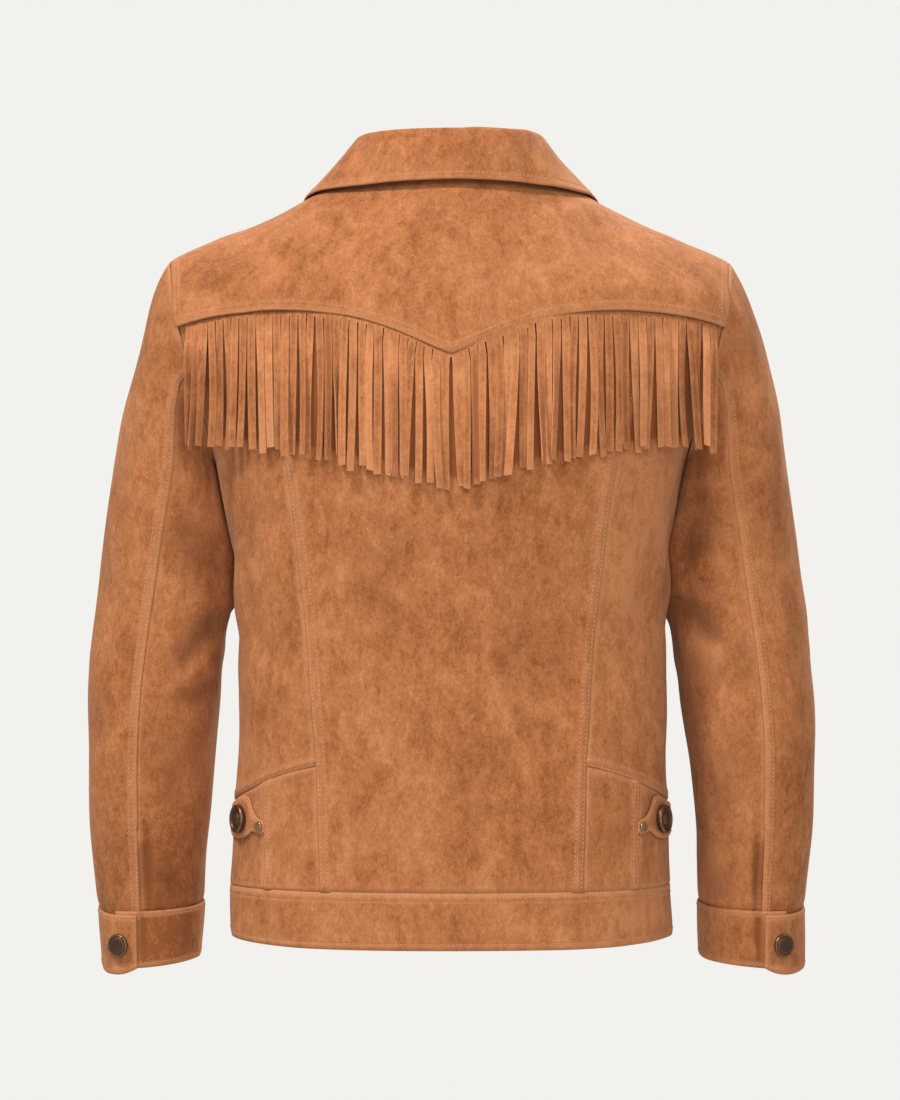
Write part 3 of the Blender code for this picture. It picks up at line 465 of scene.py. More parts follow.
def outer_side(node, largest=False):
    """The outer side of a cloth node as a bmesh, without its rim and its inner side."""
    bm = bmesh.new()
    bm.from_mesh(NODES[node].data)
    bmesh.ops.remove_doubles(bm, verts=bm.verts, dist=MERGE)
    slack = CUFF_WALL_SLACK if node.startswith("cuff") else WALL_SLACK
    walls = {edge for edge in bm.edges if abs(edge.calc_length() - SUEDE_WALL) < slack}
    rim = [face for face in bm.faces if any(edge in walls for edge in face.edges)]
    bmesh.ops.delete(bm, geom=rim, context="FACES")
    low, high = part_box(node)
    middle = (Vector(low) + Vector(high)) / 2
    tube = node.startswith(("sleeve", "cuff"))
    groups, seen = [], set()
    for face in bm.faces:
        if face in seen:
            continue
        seen.add(face)
        stack, group = [face], []
        while stack:
            here = stack.pop()
            group.append(here)
            for edge in here.edges:
                for other in edge.link_faces:
                    if other not in seen:
                        seen.add(other)
                        stack.append(other)
        groups.append(group)

    def outward(group):
        total = 0.0
        for face in group:
            at, area = face.calc_center_median(), face.calc_area()
            heart = Vector(BODY_MIDDLE)
            if tube:
                heart = Vector((math.copysign(SLEEVE_AXIS[0], middle.x), SLEEVE_AXIS[1], at.z))
            total += area * (1.0 if largest else face.normal.dot((at - heart).normalized()))
        return total

    bmesh.ops.delete(bm, geom=[face for group in groups if group is not
                               max(groups, key=outward) for face in group], context="FACES")
    lay_quads(bm)
    return bm


def points_of(mesh):
    points = np.empty(len(mesh.vertices) * 3)
    mesh.vertices.foreach_get("co", points)
    return points.reshape(-1, 3)


def normals_of(mesh):
    normals = np.empty(len(mesh.vertices) * 3)
    mesh.vertices.foreach_get("normal", normals)
    return normals.reshape(-1, 3)


def edges_of(mesh):
    pairs = np.empty(len(mesh.edges) * 2, np.int64)
    mesh.edges.foreach_get("vertices", pairs)
    return pairs.reshape(-1, 2)


class Cloth:
    """One cut piece of suede while it is shaped: its outer side and the edges round it."""

    def __init__(self, node, cut, sign):
        self.node, self.cut, self.sign = node, cut, sign
        bm = outer_side(node, largest=cut.node == "collar")
        crease = bm.verts.layers.float.new("crease_vert")
        corners = []
        for vert in bm.verts:
            ends = [edge for edge in vert.link_edges if edge.is_boundary]
            if len(ends) != 2:
                continue
            a, b = (edge.other_vert(vert).co - vert.co for edge in ends)
            turn = math.pi - a.angle(b)
            if turn > SHARP_CORNER:
                vert[crease] = 1.0
                corners.append(vert.co.copy())
            elif turn > SOFT_CORNER:
                vert[crease] = SOFT_CREASE
        cage = mesh_of("cage", bm)
        rough = show("cage", cage)
        soften = rough.modifiers.new("soft", "SUBSURF")
        soften.levels = soften.render_levels = cut.levels
        soften.boundary_smooth = "PRESERVE_CORNERS"
        self.mesh = settled(rough)
        bpy.data.objects.remove(rough, do_unlink=True)
        bpy.data.meshes.remove(cage)
        self.points = points_of(self.mesh)
        self.pairs = edges_of(self.mesh)
        self.ring = self.boundary()
        self.sides = self.split(corners)
        self.relax(3)
        self.before = self.points.copy()
        self.rest_normals = normals_of(self.mesh)

    def boundary(self):
        """Vertex indices round the edge, in order."""
        near = {}
        for a, b in rim_edges(self.mesh):
            near.setdefault(a, []).append(b)
            near.setdefault(b, []).append(a)
        start = min(near)
        ring, before, here = [start], None, start
        while True:
            step = [k for k in near[here] if k != before]
            before, here = here, step[0]
            if here == start:
                return ring
            ring.append(here)

    def split(self, corners):
        """Runs of the edge from corner to corner."""
        ring = np.array(self.ring)
        cuts = sorted({int(np.argmin(np.linalg.norm(self.points[ring] - np.array(at), axis=1)))
                       for at in corners})
        if len(cuts) < 2:
            return [ring]
        return [np.array(list(ring[a:b + 1]) if b > a else
                         list(ring[a:]) + list(ring[:b + 1]))
                for a, b in zip(cuts, cuts[1:] + cuts[:1])]

    def side(self, way):
        """The run of the edge that lies furthest one way, such as (0, 0, -1) for down, among
        those long enough for the cut; a way is that of the left piece of a pair."""
        way = (way[0] * self.sign, way[1], way[2])
        longest = max(run_of(self.points[run])[-1] for run in self.sides)
        runs = [run for run in self.sides
                if run_of(self.points[run])[-1] >= self.cut.least * longest]
        return max(runs, key=lambda run: self.points[run].mean(axis=0).dot(way))

    def relax(self, times, factor=0.5):
        """Even out the inside of the sheet and keep its edge."""
        count = np.bincount(self.pairs.ravel(), minlength=len(self.points))
        fixed = np.zeros(len(self.points), bool)
        fixed[self.ring] = True
        for _ in range(times):
            total = np.zeros_like(self.points)
            np.add.at(total, self.pairs[:, 0], self.points[self.pairs[:, 1]])
            np.add.at(total, self.pairs[:, 1], self.points[self.pairs[:, 0]])
            mean = total / count[:, None]
            self.points[~fixed] += (mean - self.points)[~fixed] * factor
        self.store()

    def store(self):
        self.mesh.vertices.foreach_set("co", self.points.ravel())
        self.mesh.update()

    def distance(self, run):
        """Distance of every vertex from a run of the edge, before the folds were put in."""
        line = self.before[run]
        steps = np.linspace(0.0, 1.0, 8, endpoint=False)[:, None]
        tree = point_tree(np.concatenate([a + (b - a) * steps for a, b in zip(line, line[1:])]
                                         + [line[-1:]]))
        return np.array([tree.find(point)[2] for point in self.before])

    def beyond(self, ways, offset):
        """How much further than the offset every vertex lies from the nearest of its sides."""
        return np.min([self.distance(self.side(way)) for way in ways], axis=0) - offset

    def bend(self, reach=6):
        """How tightly the sheet is bent round every vertex, as one over the radius."""
        a, b = self.pairs.T
        normals = normals_of(self.mesh)
        turn = (np.linalg.norm(normals[a] - normals[b], axis=1)
                / np.linalg.norm(self.points[a] - self.points[b], axis=1))
        tight = np.zeros(len(self.points))
        for _ in range(reach):
            np.maximum.at(tight, a, turn)
            np.maximum.at(tight, b, turn)
            turn = np.maximum(tight[a], tight[b])
        return tight


# ---------------------------------------------------------------- folds of the cloth
# By the side that it is seen from, each fold has its depth, half width and line, all in
# millimetres. Lines are (x, z) on the back and front and (y, z) on the two sides; a
# negative depth is a ridge.
SLEEVE_FOLDS = {
    "back": (
        # left sleeve, inner bend and below
        (4.2, 11, (189, -372), (204, -392), (222, -418), (240, -436)),
        (-2.4, 10, (190, -400), (208, -420), (232, -446)),
        (3.4, 9, (196, -432), (212, -446), (236, -452)),
        (2.6, 13, (222, -290), (216, -330), (206, -362)),
        (1.8, 14, (252, -470), (238, -512), (232, -556)),
        (-1.6, 12, (268, -300), (262, -350), (258, -400)),
        (1.6, 12, (292, -210), (286, -250), (282, -300)),
        (2, 10, (246, -596), (238, -612), (224, -620)),
        # right sleeve
        (4.4, 11, (-186, -356), (-200, -376), (-220, -398), (-242, -410)),
        (-2.6, 10, (-188, -386), (-210, -402), (-238, -420)),
        (1.6, 9, (-196, -410), (-214, -428), (-240, -440)),
        (2, 13, (-236, -402), (-252, -424), (-262, -452)),
        (-1.8, 12, (-256, -388), (-266, -420), (-272, -452)),
        (2.4, 14, (-214, -262), (-210, -306), (-200, -346)),
        (1.6, 14, (-282, -250), (-286, -300), (-284, -350)),
        (1.8, 14, (-244, -480), (-236, -520), (-232, -566)),
        (2, 10, (-236, -590), (-230, -608), (-216, -618)),
        (-1.3, 5, (-238, -388), (-226, -408), (-214, -430)),
        # the under piece tucks in beneath the lap of the slit
        (3.4, 4, (259.4, -564), (258.8, -596), (258.4, -640)),
        (3.4, 4, (-261.8, -564), (-261.2, -596), (-260.8, -640)),
    ),
    "left": (
        # outer sides of the sleeves
        (1.7, 12, (-86, -380), (-64, -398), (-36, -402)),
        (1.4, 11, (-90, -428), (-60, -438), (-30, -430)),
        (-1, 12, (-84, -405), (-56, -418), (-26, -414)),
        (1.8, 14, (-30, -150), (-34, -200), (-44, -250)),
        (1.8, 12, (-70, -500), (-58, -545), (-60, -590)),
    ),
    "right": (
        (1.8, 12, (-88, -368), (-62, -388), (-30, -396)),
        (1.3, 10, (-92, -418), (-66, -430), (-40, -426)),
        (-1, 12, (-86, -394), (-58, -408), (-30, -410)),
        (1.8, 14, (-34, -160), (-40, -210), (-40, -262)),
        (1.6, 12, (-52, -510), (-66, -552), (-62, -596)),
    ),
    "front": (
        # fronts of the sleeves, the inside of the bend
        (4.4, 11, (196, -386), (226, -398), (262, -392), (288, -380)),
        (-2.6, 11, (200, -408), (232, -418), (268, -410)),
        (3.6, 10, (202, -430), (230, -442), (270, -436)),
        (2.6, 12, (208, -350), (238, -362), (272, -352)),
        (2, 12, (246, -500), (262, -540), (258, -580)),
        (4.6, 11, (-198, -378), (-230, -392), (-262, -388), (-284, -372)),
        (-2.6, 11, (-202, -400), (-236, -412), (-266, -404)),
        (3.4, 10, (-204, -424), (-234, -434), (-272, -426)),
        (2.4, 12, (-206, -342), (-240, -350), (-270, -340)),
        (2, 12, (-252, -494), (-246, -530), (-254, -572)),
    ),
}
BODY_FOLDS = {
    "back": (
        # panels seen from behind
        (2.2, 13, (176, -350), (160, -392), (150, -430)),
        (-1.4, 14, (160, -300), (150, -345), (140, -392)),
        (2, 12, (-176, -338), (-158, -372), (-148, -420)),
        (-1.4, 13, (-154, -302), (-146, -350), (-140, -400)),
        (1.6, 20, (52, -300), (60, -370), (50, -440)),
        (1.5, 22, (-66, -320), (-56, -400), (-70, -470)),
        (-1.4, 22, (6, -320), (-6, -420), (4, -520)),
        (1.6, 18, (-30, -480), (-20, -530), (-28, -580)),
        (1.4, 18, (64, -500), (74, -545), (66, -590)),
        (1.6, 12, (118, -556), (136, -572), (150, -598)),
        (1.4, 12, (-120, -560), (-138, -574), (-150, -596)),
        # shoulders and yoke
        (1.2, 16, (110, -40), (126, -70), (148, -94)),
        (1.2, 16, (-104, -44), (-122, -74), (-150, -92)),
        (-1.2, 18, (60, -60), (76, -90), (100, -104)),
        (1, 20, (-20, -60), (-40, -90), (-36, -124)),
    ),
    "left": (
        # sides of the body
        (2.6, 13, (40, -300), (10, -330), (-30, -350)),
        (2, 12, (30, -380), (0, -405), (-36, -412)),
        (-1.6, 14, (34, -345), (0, -372), (-34, -382)),
        (1.8, 14, (-40, -470), (-30, -510), (-36, -556)),
    ),
    "right": (
        (2.6, 13, (40, -292), (8, -322), (-34, -340)),
        (1.8, 12, (34, -372), (0, -392), (-30, -406)),
        (-1.6, 14, (36, -336), (2, -358), (-34, -374)),
        (1.8, 14, (-30, -462), (-42, -508), (-34, -560)),
    ),
    "front": (
        # fronts of the body
        (3.6, 16, (130, -240), (110, -300), (98, -380)),
        (3, 18, (60, -300), (56, -390), (64, -480)),
        (-2.4, 18, (86, -280), (80, -360), (86, -450)),
        (2.8, 16, (140, -430), (128, -490), (130, -560)),
        (3.6, 16, (-128, -232), (-112, -296), (-94, -370)),
        (2.8, 18, (-64, -320), (-54, -400), (-60, -500)),
        (-2.4, 18, (-88, -270), (-80, -350), (-90, -440)),
        (2.8, 16, (-138, -440), (-132, -500), (-126, -566)),
        (1.6, 14, (150, -110), (138, -150), (140, -190)),
        (1.6, 14, (-148, -116), (-138, -156), (-144, -196)),
    ),
}
CUFF_FOLDS = {
    "back": (
        # the band drops away beside its lapped end
        (1.4, 2.4, (262.2, -628), (262, -650), (261.6, -676)),
        (1.4, 2.4, (-262.2, -628), (-262, -650), (-261.6, -676)),
    ),
}
# way each view looks in from: axes across and up, and the facing axis with its sign
VIEWS = {"back": (0, 2, 1, 1.0), "front": (0, 2, 1, -1.0), "left": (1, 2, 0, 1.0),
         "right": (1, 2, 0, -1.0)}
FACING_LEAST, FACING_FADE = 0.05, 0.35
SLIT_TOP = -0.5615        # height where the slit of each sleeve ends
FRINGE_REACH = 0.212      # the fringe shades the cloth this far from the middle
# cut ends of the fringe: distance from the middle, height
STRIP_ENDS = ((0.000, -0.2745), (0.040, -0.2650), (0.085, -0.2540), (0.125, -0.2465),
              (0.165, -0.2415), (0.200, -0.2395), (0.240, -0.2400))
# where the nap lies lighter (+) or darker (-), together with painted light and painted shade such
# as the dark of the armpits and elbows, by the side that it is seen from: middle and reach across
# and up, in millimetres, and the amount
NAP_AND_PAINTED_LIGHT = {
    "back": (
        # back of the body
        (-146.5, -316, 30, 80, 0.24),
        (-163, -402, 21, 42, 0.18),
        (-176, -270, 14, 58, 0.32),
        (-125, -270, 20, 34, 0.18),
        (21, -402, 37, 60, -0.18),
        (-91, -400, 31, 90, -0.16),
        (-54, -490, 36, 30, -0.08),
        (-25, -532, 58, 42, -0.16),
        (149, -482, 28, 50, -0.12),
        (155, -267, 12, 32, -0.2),
        (-180, -530, 15, 30, -0.16),
        (-150, -632, 32, 20, 0.24),
        (-90, -641, 46, 13, 0.24),
        (50, -641, 52, 13, 0.24),
        (162, -612, 20, 14, -0.18),
        # yoke, shoulders and fringe
        (-33, -88, 50, 32, 0.15),
        (-10, -155, 48, 42, 0.26),
        (24, -222, 18, 36, 0.24),
        (-166, -190, 22, 50, 0.22),
        (-176, -77, 22, 22, -0.22),
        (190, -100, 26, 20, -0.2),
        # left sleeve and cuff
        (250.7, -159, 20, 40, -0.28),
        (216, -333, 18, 72, 0.2),
        (221, -406, 14, 20, 0.18),
        # painted shade in the bend of the elbow
        (196, -416, 11, 14, -0.38),
        (242, -590, 24, 34, -0.2),
        (235, -652, 24, 44, -0.42),
        # right sleeve and cuff
        (-204, -329, 11, 18, -0.34),
        (-211, -412, 19, 32, 0.46),
        # painted shade where the sleeve meets the body
        (-189, -358, 9, 20, -0.7),
        (-217, -444, 9, 11, -0.26),
        (-229.5, -300, 13, 78, 0.18),
        (-256.7, -206, 18, 48, 0.3),
        (-276, -410, 20, 50, -0.16),
        (-225, -580, 12, 76, 0.2),
        (-255, -652, 17, 38, -0.18),
        # painted shade beside the laps of the slits and cuffs
        (258, -604, 3.6, 34, -0.6),
        (-260, -604, 3.6, 34, -0.6),
        (262, -652, 3, 34, -0.6),
        (-262, -652, 3, 34, -0.6),
    ),
    "front": (
        # fronts and outer sides
        (90, -200, 46, 60, 0.2),
        (110, -470, 40, 70, -0.2),
        (-80, -330, 50, 60, 0.18),
        (-120, -540, 36, 48, -0.18),
        (238, -400, 28, 24, -0.26),
        (-236, -392, 28, 24, -0.26),
    ),
    "left": (
        (-50, -420, 26, 36, -0.24),
        (-20, -220, 30, 60, 0.18),
    ),
    "right": (
        (-52, -408, 26, 36, -0.24),
        (-26, -230, 30, 60, 0.18),
    ),
}
# where a button or stud keeps the cloth flat: x, y, z, reach
FLAT_SPOTS = ((0.1770, 0.048, -0.5505, 0.022), (0.1578, 0.073, -0.5557, 0.014),
              (0.281, -0.006, -0.6550, 0.016))


def fold_line(stops, steps=10):
    """Points along a smooth line through the stops, and the share run at each."""
    stops = [np.array(stop) / 1000 for stop in stops]
    ends = [2 * stops[0] - stops[1]] + stops + [2 * stops[-1] - stops[-2]]
    out = []
    for k in range(1, len(ends) - 2):
        a, b, c, d = ends[k - 1:k + 3]
        for t in np.linspace(0.0, 1.0, steps, endpoint=False):
            out.append(0.5 * (2 * b + (c - a) * t + (2 * a - 5 * b + 4 * c - d) * t * t
                              + (3 * b - a - 3 * c + d) * t ** 3))
    out.append(stops[-1])
    return np.array(out), np.linspace(0.0, 1.0, len(out))


def facing_share(seen):
    """1 where the cloth faces the side it is seen from, fading to 0 where it turns away."""
    return fade(seen, FACING_LEAST, FACING_FADE)


def fold_depth(points, normals, folds):
    """How far the folds push every point in."""
    push = np.zeros(len(points))
    for view, rows in folds.items():
        across, up, facing, sign = VIEWS[view]
        seen = normals[:, facing] * sign
        flat = points[:, (across, up)]
        for depth, wide, *stops in rows:
            depth, wide = depth / 1000, wide / 1000
            line, run = fold_line(stops)
            low, high = line.min(axis=0) - 3 * wide, line.max(axis=0) + 3 * wide
            near = np.flatnonzero((seen > FACING_LEAST) & (flat > low).all(axis=1)
                                  & (flat < high).all(axis=1))
            if not len(near):
                continue
            gap = np.linalg.norm(flat[near, None, :] - line[None], axis=2)
            best = gap.argmin(axis=1)
            gap, share = gap[np.arange(len(near)), best], run[best]
            width = wide * (0.7 + 0.5 * np.sin(share * math.pi))
            taper = smooth(share / 0.3) * smooth((1.0 - share) / 0.35) * 0.9 + 0.1
            push[near] += (depth * np.exp(-(gap / width) ** 2) * taper
                           * facing_share(seen[near]))
    return push


def brushed(points, normals):
    """How far every point is painted light or dark: brushed nap together with painted light and
    shade.
    """
    total = np.zeros(len(points))
    for view, rows in NAP_AND_PAINTED_LIGHT.items():
        across, up, facing, sign = VIEWS[view]
        seen = facing_share(normals[:, facing] * sign)
        for *place, amount in rows:
            middle, reach = np.array(place[:2]) / 1000, np.array(place[2:]) / 1000
            off = (points[:, (across, up)] - middle) / reach
            total += amount * np.exp(-(off ** 2).sum(axis=1)) * seen
    return total


def under_fringe(points, normals):
    """1 on the cloth that gets painted shade beneath the strips, 0 elsewhere."""
    ends = np.array(STRIP_ENDS)
    low = np.interp(np.abs(points[:, 0]), ends[:, 0], ends[:, 1])
    return (smooth((points[:, 2] - low - 0.005) / 0.012) * fade(normals[:, 1], 0.1, 0.3)
            * smooth((FRINGE_REACH - np.abs(points[:, 0])) / 0.010))


def waves(points):
    """Slow uneven swell of the hide."""
    dice = np.random.default_rng(5)
    total = np.zeros(len(points))
    for wavelength, height in RIPPLE:
        for _ in range(4):
            way = dice.normal(size=3) * np.array((1.0, 0.8, 0.6))
            way *= 2 * math.pi / wavelength / np.linalg.norm(way) * dice.uniform(0.8, 1.25)
            total += height * 0.5 * np.sin(points @ way + dice.uniform(0, 2 * math.pi))
    return total


def calm(points):
    """0 where a button holds the cloth flat, 1 away from it."""
    out = np.ones(len(points))
    for x, y, z, reach in FLAT_SPOTS:
        for side in (1, -1):
            gap = np.linalg.norm(points - np.array((side * x, y, z)), axis=1)
            out *= smooth((gap / reach - 0.55) / 0.9)
    return out


# ---------------------------------------------------------------- cut pieces
DOWN, UP = (0, 0, -1), (0, 0, 1)
OUT, IN = (1, 0, 0), (-1, 0, 0)
BEHIND, AHEAD = (0, 1, 0), (0, -1, 0)


class Cut:
    """How one piece is cut and sewn; the right one of a pair is its mirror image.

    A side of the edge counts only if it is at least this share of the longest one.
    """

    def __init__(self, node, levels, flat, area, rows=(), welt=None, held="hung", least=0.0):
        self.node, self.levels, self.flat, self.area = node, levels, flat, area
        self.rows, self.welt, self.held, self.least = rows, welt, held, least


# rows of topstitching: distance in from the edge, then the edges they follow
BODY_CUTS = (
    Cut("back_yoke", 3, (0.530, 0.190), 0.0771,
        ((0.0021, (DOWN,)), (0.0080, (DOWN,)), (0.0076, (OUT, IN)))),
    Cut("back_center_panel", 3, (0.345, 0.500), 0.1245,
        ((0.0016, (OUT, IN)), (0.0068, (OUT, IN))), (0.0082, (OUT, IN))),
    Cut("back_side_panel", 3, (0.140, 0.420), 0.0440,
        ((0.0016, (DOWN,)), (0.0064, (DOWN,))), (0.0076, (DOWN,))),
    Cut("back_hip_panel", 3, (0.052, 0.106), 0.0052, ((0.0018, (OUT,)), (0.0062, (OUT,))),
        (0.0074, (OUT,))),
    Cut("side_hip_panel", 3, (0.084, 0.088), 0.0062),
    Cut("front", 2, (0.300, 0.620), 0.1503, ((0.0030, (IN,)), (0.0090, (IN,)))),
    Cut("hem_band", 3, (0.985, 0.0485), 0.0474,
        ((0.0016, (UP,)), (0.0068, (UP,)), (0.0052, (DOWN,)))),
)
SLEEVE_CUTS = (
    Cut("sleeve_upper", 3, (0.200, 0.580), 0.0932,
        ((0.0014, (BEHIND,)), (0.0058, (BEHIND,)), (0.0016, (AHEAD,))),
        (0.0070, (BEHIND,))),
    Cut("sleeve_under", 3, (0.185, 0.480), 0.0754),
)
CUFF_CUTS = (
    Cut("cuff", 3, (0.330, 0.049), 0.0155, ((0.0036, (UP,)), (0.0040, (DOWN,)))),
)
COLLAR_CUTS = (
    Cut("collar", 3, (0.560, 0.105), 0.0490, ((0.0066, (DOWN,)),), held="folded",
        least=0.5),
)
TAB_CUTS = (
    Cut("hip_tab", 3, (0.105, 0.037), 0.0026, ((0.0022, (UP,)), (0.0022, (DOWN,)))),
)

SEWN = {}    # finished cloth by node name, for stitches, fringe and trim to lie on
# slow swell of the hide: wave length, height
RIPPLE = ((0.170, 0.0011), (0.110, 0.0008), (0.070, 0.0005), (0.042, 0.00028),
          (0.026, 0.00014))
SEAM_REACH, SEAM_FADE = 0.0011, 0.012    # sewn edges lie this near, and share a normal
ROLL_REACH = 0.0022       # width of the rolled edge
EDGE_REACH = 0.0060       # width of the rubbed edge
WELT_HEIGHT, WELT_FADE = 0.0008, 0.0012
BEND_SHARE = 0.22         # share of a bend's radius that it may be pushed in
BODY_SHADE, OTHER_SHADE = 0.0150, 0.0060    # depth of a fold whose painted shade is dark right through
FRINGE_SHADE = 1.20       # how dark the painted shade is on the cloth beneath the strips
EDGE_STEP = 0.00020       # how far each edge reaches out to its neighbour
SLEEVE_LAP = 0.0009       # the same where a sleeve's upper piece laps over
UNDERLAP = 0.0050         # how far the under piece reaches in beneath the slit
INNER_SEAM_Z = -0.27      # a sleeve's edges above this height are the armhole's
REST_GAP = 0.0004         # a sleeve lies this clear of the body


def lay_out():
    """Cut every piece, and let sewn neighbours share one normal along their seam."""
    if SEWN:
        return
    for cut in BODY_CUTS + SLEEVE_CUTS + CUFF_CUTS + COLLAR_CUTS + TAB_CUTS:
        if cut.node in NODES:
            SEWN[cut.node] = Cloth(cut.node, cut, 1)
            continue
        for side, sign in (("_left", 1), ("_right", -1)):
            SEWN[cut.node + side] = Cloth(cut.node + side, cut, sign)
    cloths = list(SEWN.values())
    rings = [(k, v) for k, cloth in enumerate(cloths) for v in cloth.ring]
    tree = point_tree([cloths[k].before[v] for k, v in rings])
    changes = [np.zeros_like(cloth.before) for cloth in cloths]
    for k, v in rings:
        near = [rings[m] for _, m, _ in tree.find_range(cloths[k].before[v], SEAM_REACH)]
        others = [cloths[a].rest_normals[b] for a, b in near if a != k]
        if others:
            shared = cloths[k].rest_normals[v] + np.mean(others, axis=0)
            shared /= np.linalg.norm(shared)
            changes[k][v] = shared - cloths[k].rest_normals[v]
    for cloth, change in zip(cloths, changes):
        ring = np.array(cloth.ring)
        edge_tree = point_tree(cloth.before[ring])
        found = [edge_tree.find(point) for point in cloth.before]
        near = 1.0 - smooth(np.array([hit[2] for hit in found]) / SEAM_FADE)
        normals = cloth.rest_normals + change[ring[[hit[1] for hit in found]]] * near[:, None]
        cloth.push_way = normals / np.linalg.norm(normals, axis=1)[:, None]


def shape(cloth, depth, border):
    """Fold, swell and roll one piece; gives how far its vertices lie from the welt."""
    settings = bpy.context.scene.jacket_cloth
    cut = cloth.cut
    swell = waves(cloth.points) * float(settings.crease)
    roll = (float(settings.roll) * (0.5 if cut in SLEEVE_CUTS else 1.0)
            * (1.0 - smooth(border / ROLL_REACH)))
    push = (swell - depth) * calm(cloth.points) - roll
    welt = np.full(len(cloth.points), 1.0)
    if cut.welt:
        welt = cloth.beyond(cut.welt[1], cut.welt[0])
        push += WELT_HEIGHT * (1.0 - fade(welt, -WELT_FADE, 2 * WELT_FADE))
    push = np.maximum(push, -BEND_SHARE / np.maximum(cloth.bend(), 1.0))
    cloth.points += cloth.push_way * push[:, None]
    outward_step(cloth)
    if cut in SLEEVE_CUTS:
        rest_on_body(cloth)
    cloth.store()
    return welt


def sew(cloth, folds):
    """One finished piece of cloth in place of its solid."""
    cut = cloth.cut
    crease = float(bpy.context.scene.jacket_cloth.crease)
    depth = fold_depth(cloth.points, cloth.push_way, folds) * crease
    border = np.min([cloth.distance(run) for run in cloth.sides], axis=0)
    note(cloth.mesh, "welt", shape(cloth, depth, border))
    rows = list(cut.rows) + [None] * (3 - len(cut.rows))
    for name, row in zip(("seam_a", "seam_b", "seam_c"), rows):
        note(cloth.mesh, name, cloth.beyond(row[1], row[0]) if row
             else np.full(len(cloth.points), 1.0))
    # brushed nap together with painted light and shade
    nap_and_painted_light = brushed(cloth.before, cloth.rest_normals)
    if cut.node in ("back_center_panel", "back_side_panel"):
        # painted shade on the cloth beneath the strips
        nap_and_painted_light -= FRINGE_SHADE * under_fringe(cloth.before, cloth.rest_normals)
    note(cloth.mesh, "nap_and_painted_light", nap_and_painted_light)
    note(cloth.mesh, "edge", 1.0 - smooth(border / EDGE_REACH))
    # painted shade in the folds, darker as a fold goes deeper
    shade = BODY_SHADE if cut in BODY_CUTS else OTHER_SHADE
    note(cloth.mesh, "painted_shade", np.clip(depth / shade, 0.0, 0.8))
    for polygon in cloth.mesh.polygons:
        polygon.use_smooth = True
    piece = show("cloth_" + cloth.node, cloth.mesh, "suede", "suede_flesh")
    wall = piece.modifiers.new("hide", "SOLIDIFY")
    wall.thickness, wall.offset = SUEDE_WALL, -1.0
    wall.use_even_offset = False
    wall.material_offset, wall.material_offset_rim = 1, 0
    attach(piece, "root")
    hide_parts(cloth.node)


def rest_on_body(cloth):
    """Let the inner side of a sleeve hang against the side of the body."""
    body = cloth_tree([other for other in SEWN.values() if other.cut in BODY_CUTS])
    inward = Vector((-cloth.sign, 0.0, 0.0))
    depth, height = cloth.points[:, 1], cloth.points[:, 2]
    below = np.min([cloth.distance(run) for run in cloth.sides
                    if cloth.before[run][:, 2].mean() > INNER_SEAM_Z], axis=0)
    # between the elbow and the armpit, where the sleeve faces the middle of the body's side
    share = (fade(height, -0.395, 0.030) * fade(-height, 0.238, 0.016)
             * fade(cloth.push_way[:, 0] * -cloth.sign, 0.02, 0.36)
             * fade(-depth, -0.022, 0.024) * fade(depth, -0.052, 0.022))
    for k in np.flatnonzero(share > 0.0):
        _, y, z = cloth.points[k]
        hit = body.ray_cast(Vector((cloth.sign * 0.3, y, z)), inward)
        if hit[0] is not None:
            gap = (cloth.points[k][0] - hit[0].x) * cloth.sign
            reach = 0.014 + 0.018 * fade(z, -0.310, 0.030)
            close = max(0.0, gap - REST_GAP) * smooth((reach - gap) / (reach / 2)) * share[k]
            cloth.points[k] += np.array(inward) * min(close, 0.75 * below[k])


def outward_step(cloth):
    """Let each edge reach a little further, so that sewn edges meet.

    Above its slit the back edge of a sleeve's upper piece laps over the under piece, and
    along the slit the under piece reaches in beneath it.
    """
    ring = np.array(cloth.ring)
    places = cloth.before[ring]
    ahead, behind = np.roll(ring, -1), np.roll(ring, 1)
    along = cloth.before[ahead] - cloth.before[behind]
    out = np.cross(along, cloth.rest_normals[ring])
    out /= np.maximum(np.linalg.norm(out, axis=1), 1e-9)[:, None]
    middle = cloth.before.mean(axis=0)
    if ((places - middle) * out).sum() < 0:
        out = -out
    step = np.full(len(ring), EDGE_STEP)
    height = places[:, 2]
    if cloth.cut.node == "sleeve_upper":
        step += (SLEEVE_LAP * np.isin(ring, cloth.side(BEHIND))
                 * fade(height, SLIT_TOP, 0.006) * fade(-height, 0.20, 0.06))
    if cloth.cut.node == "sleeve_under":
        step += (UNDERLAP * np.isin(ring, cloth.side(OUT)) * (places[:, 1] > -0.030)
                 * fade(-height, -SLIT_TOP, 0.010))
    cloth.points[ring] += out * step[:, None]


def sew_all(cuts, folds):
    lay_out()
    for cloth in SEWN.values():
        if cloth.cut in cuts:
            sew(cloth, folds)


# ---------------------------------------------------------------- topstitching
STITCH_TILT = 0.06        # how far a stitch turns out of its row
STITCH_PROUD = 0.00008    # how far its middle stands off the cloth
BAR_DROP = 0.0042         # from one bar row to the next


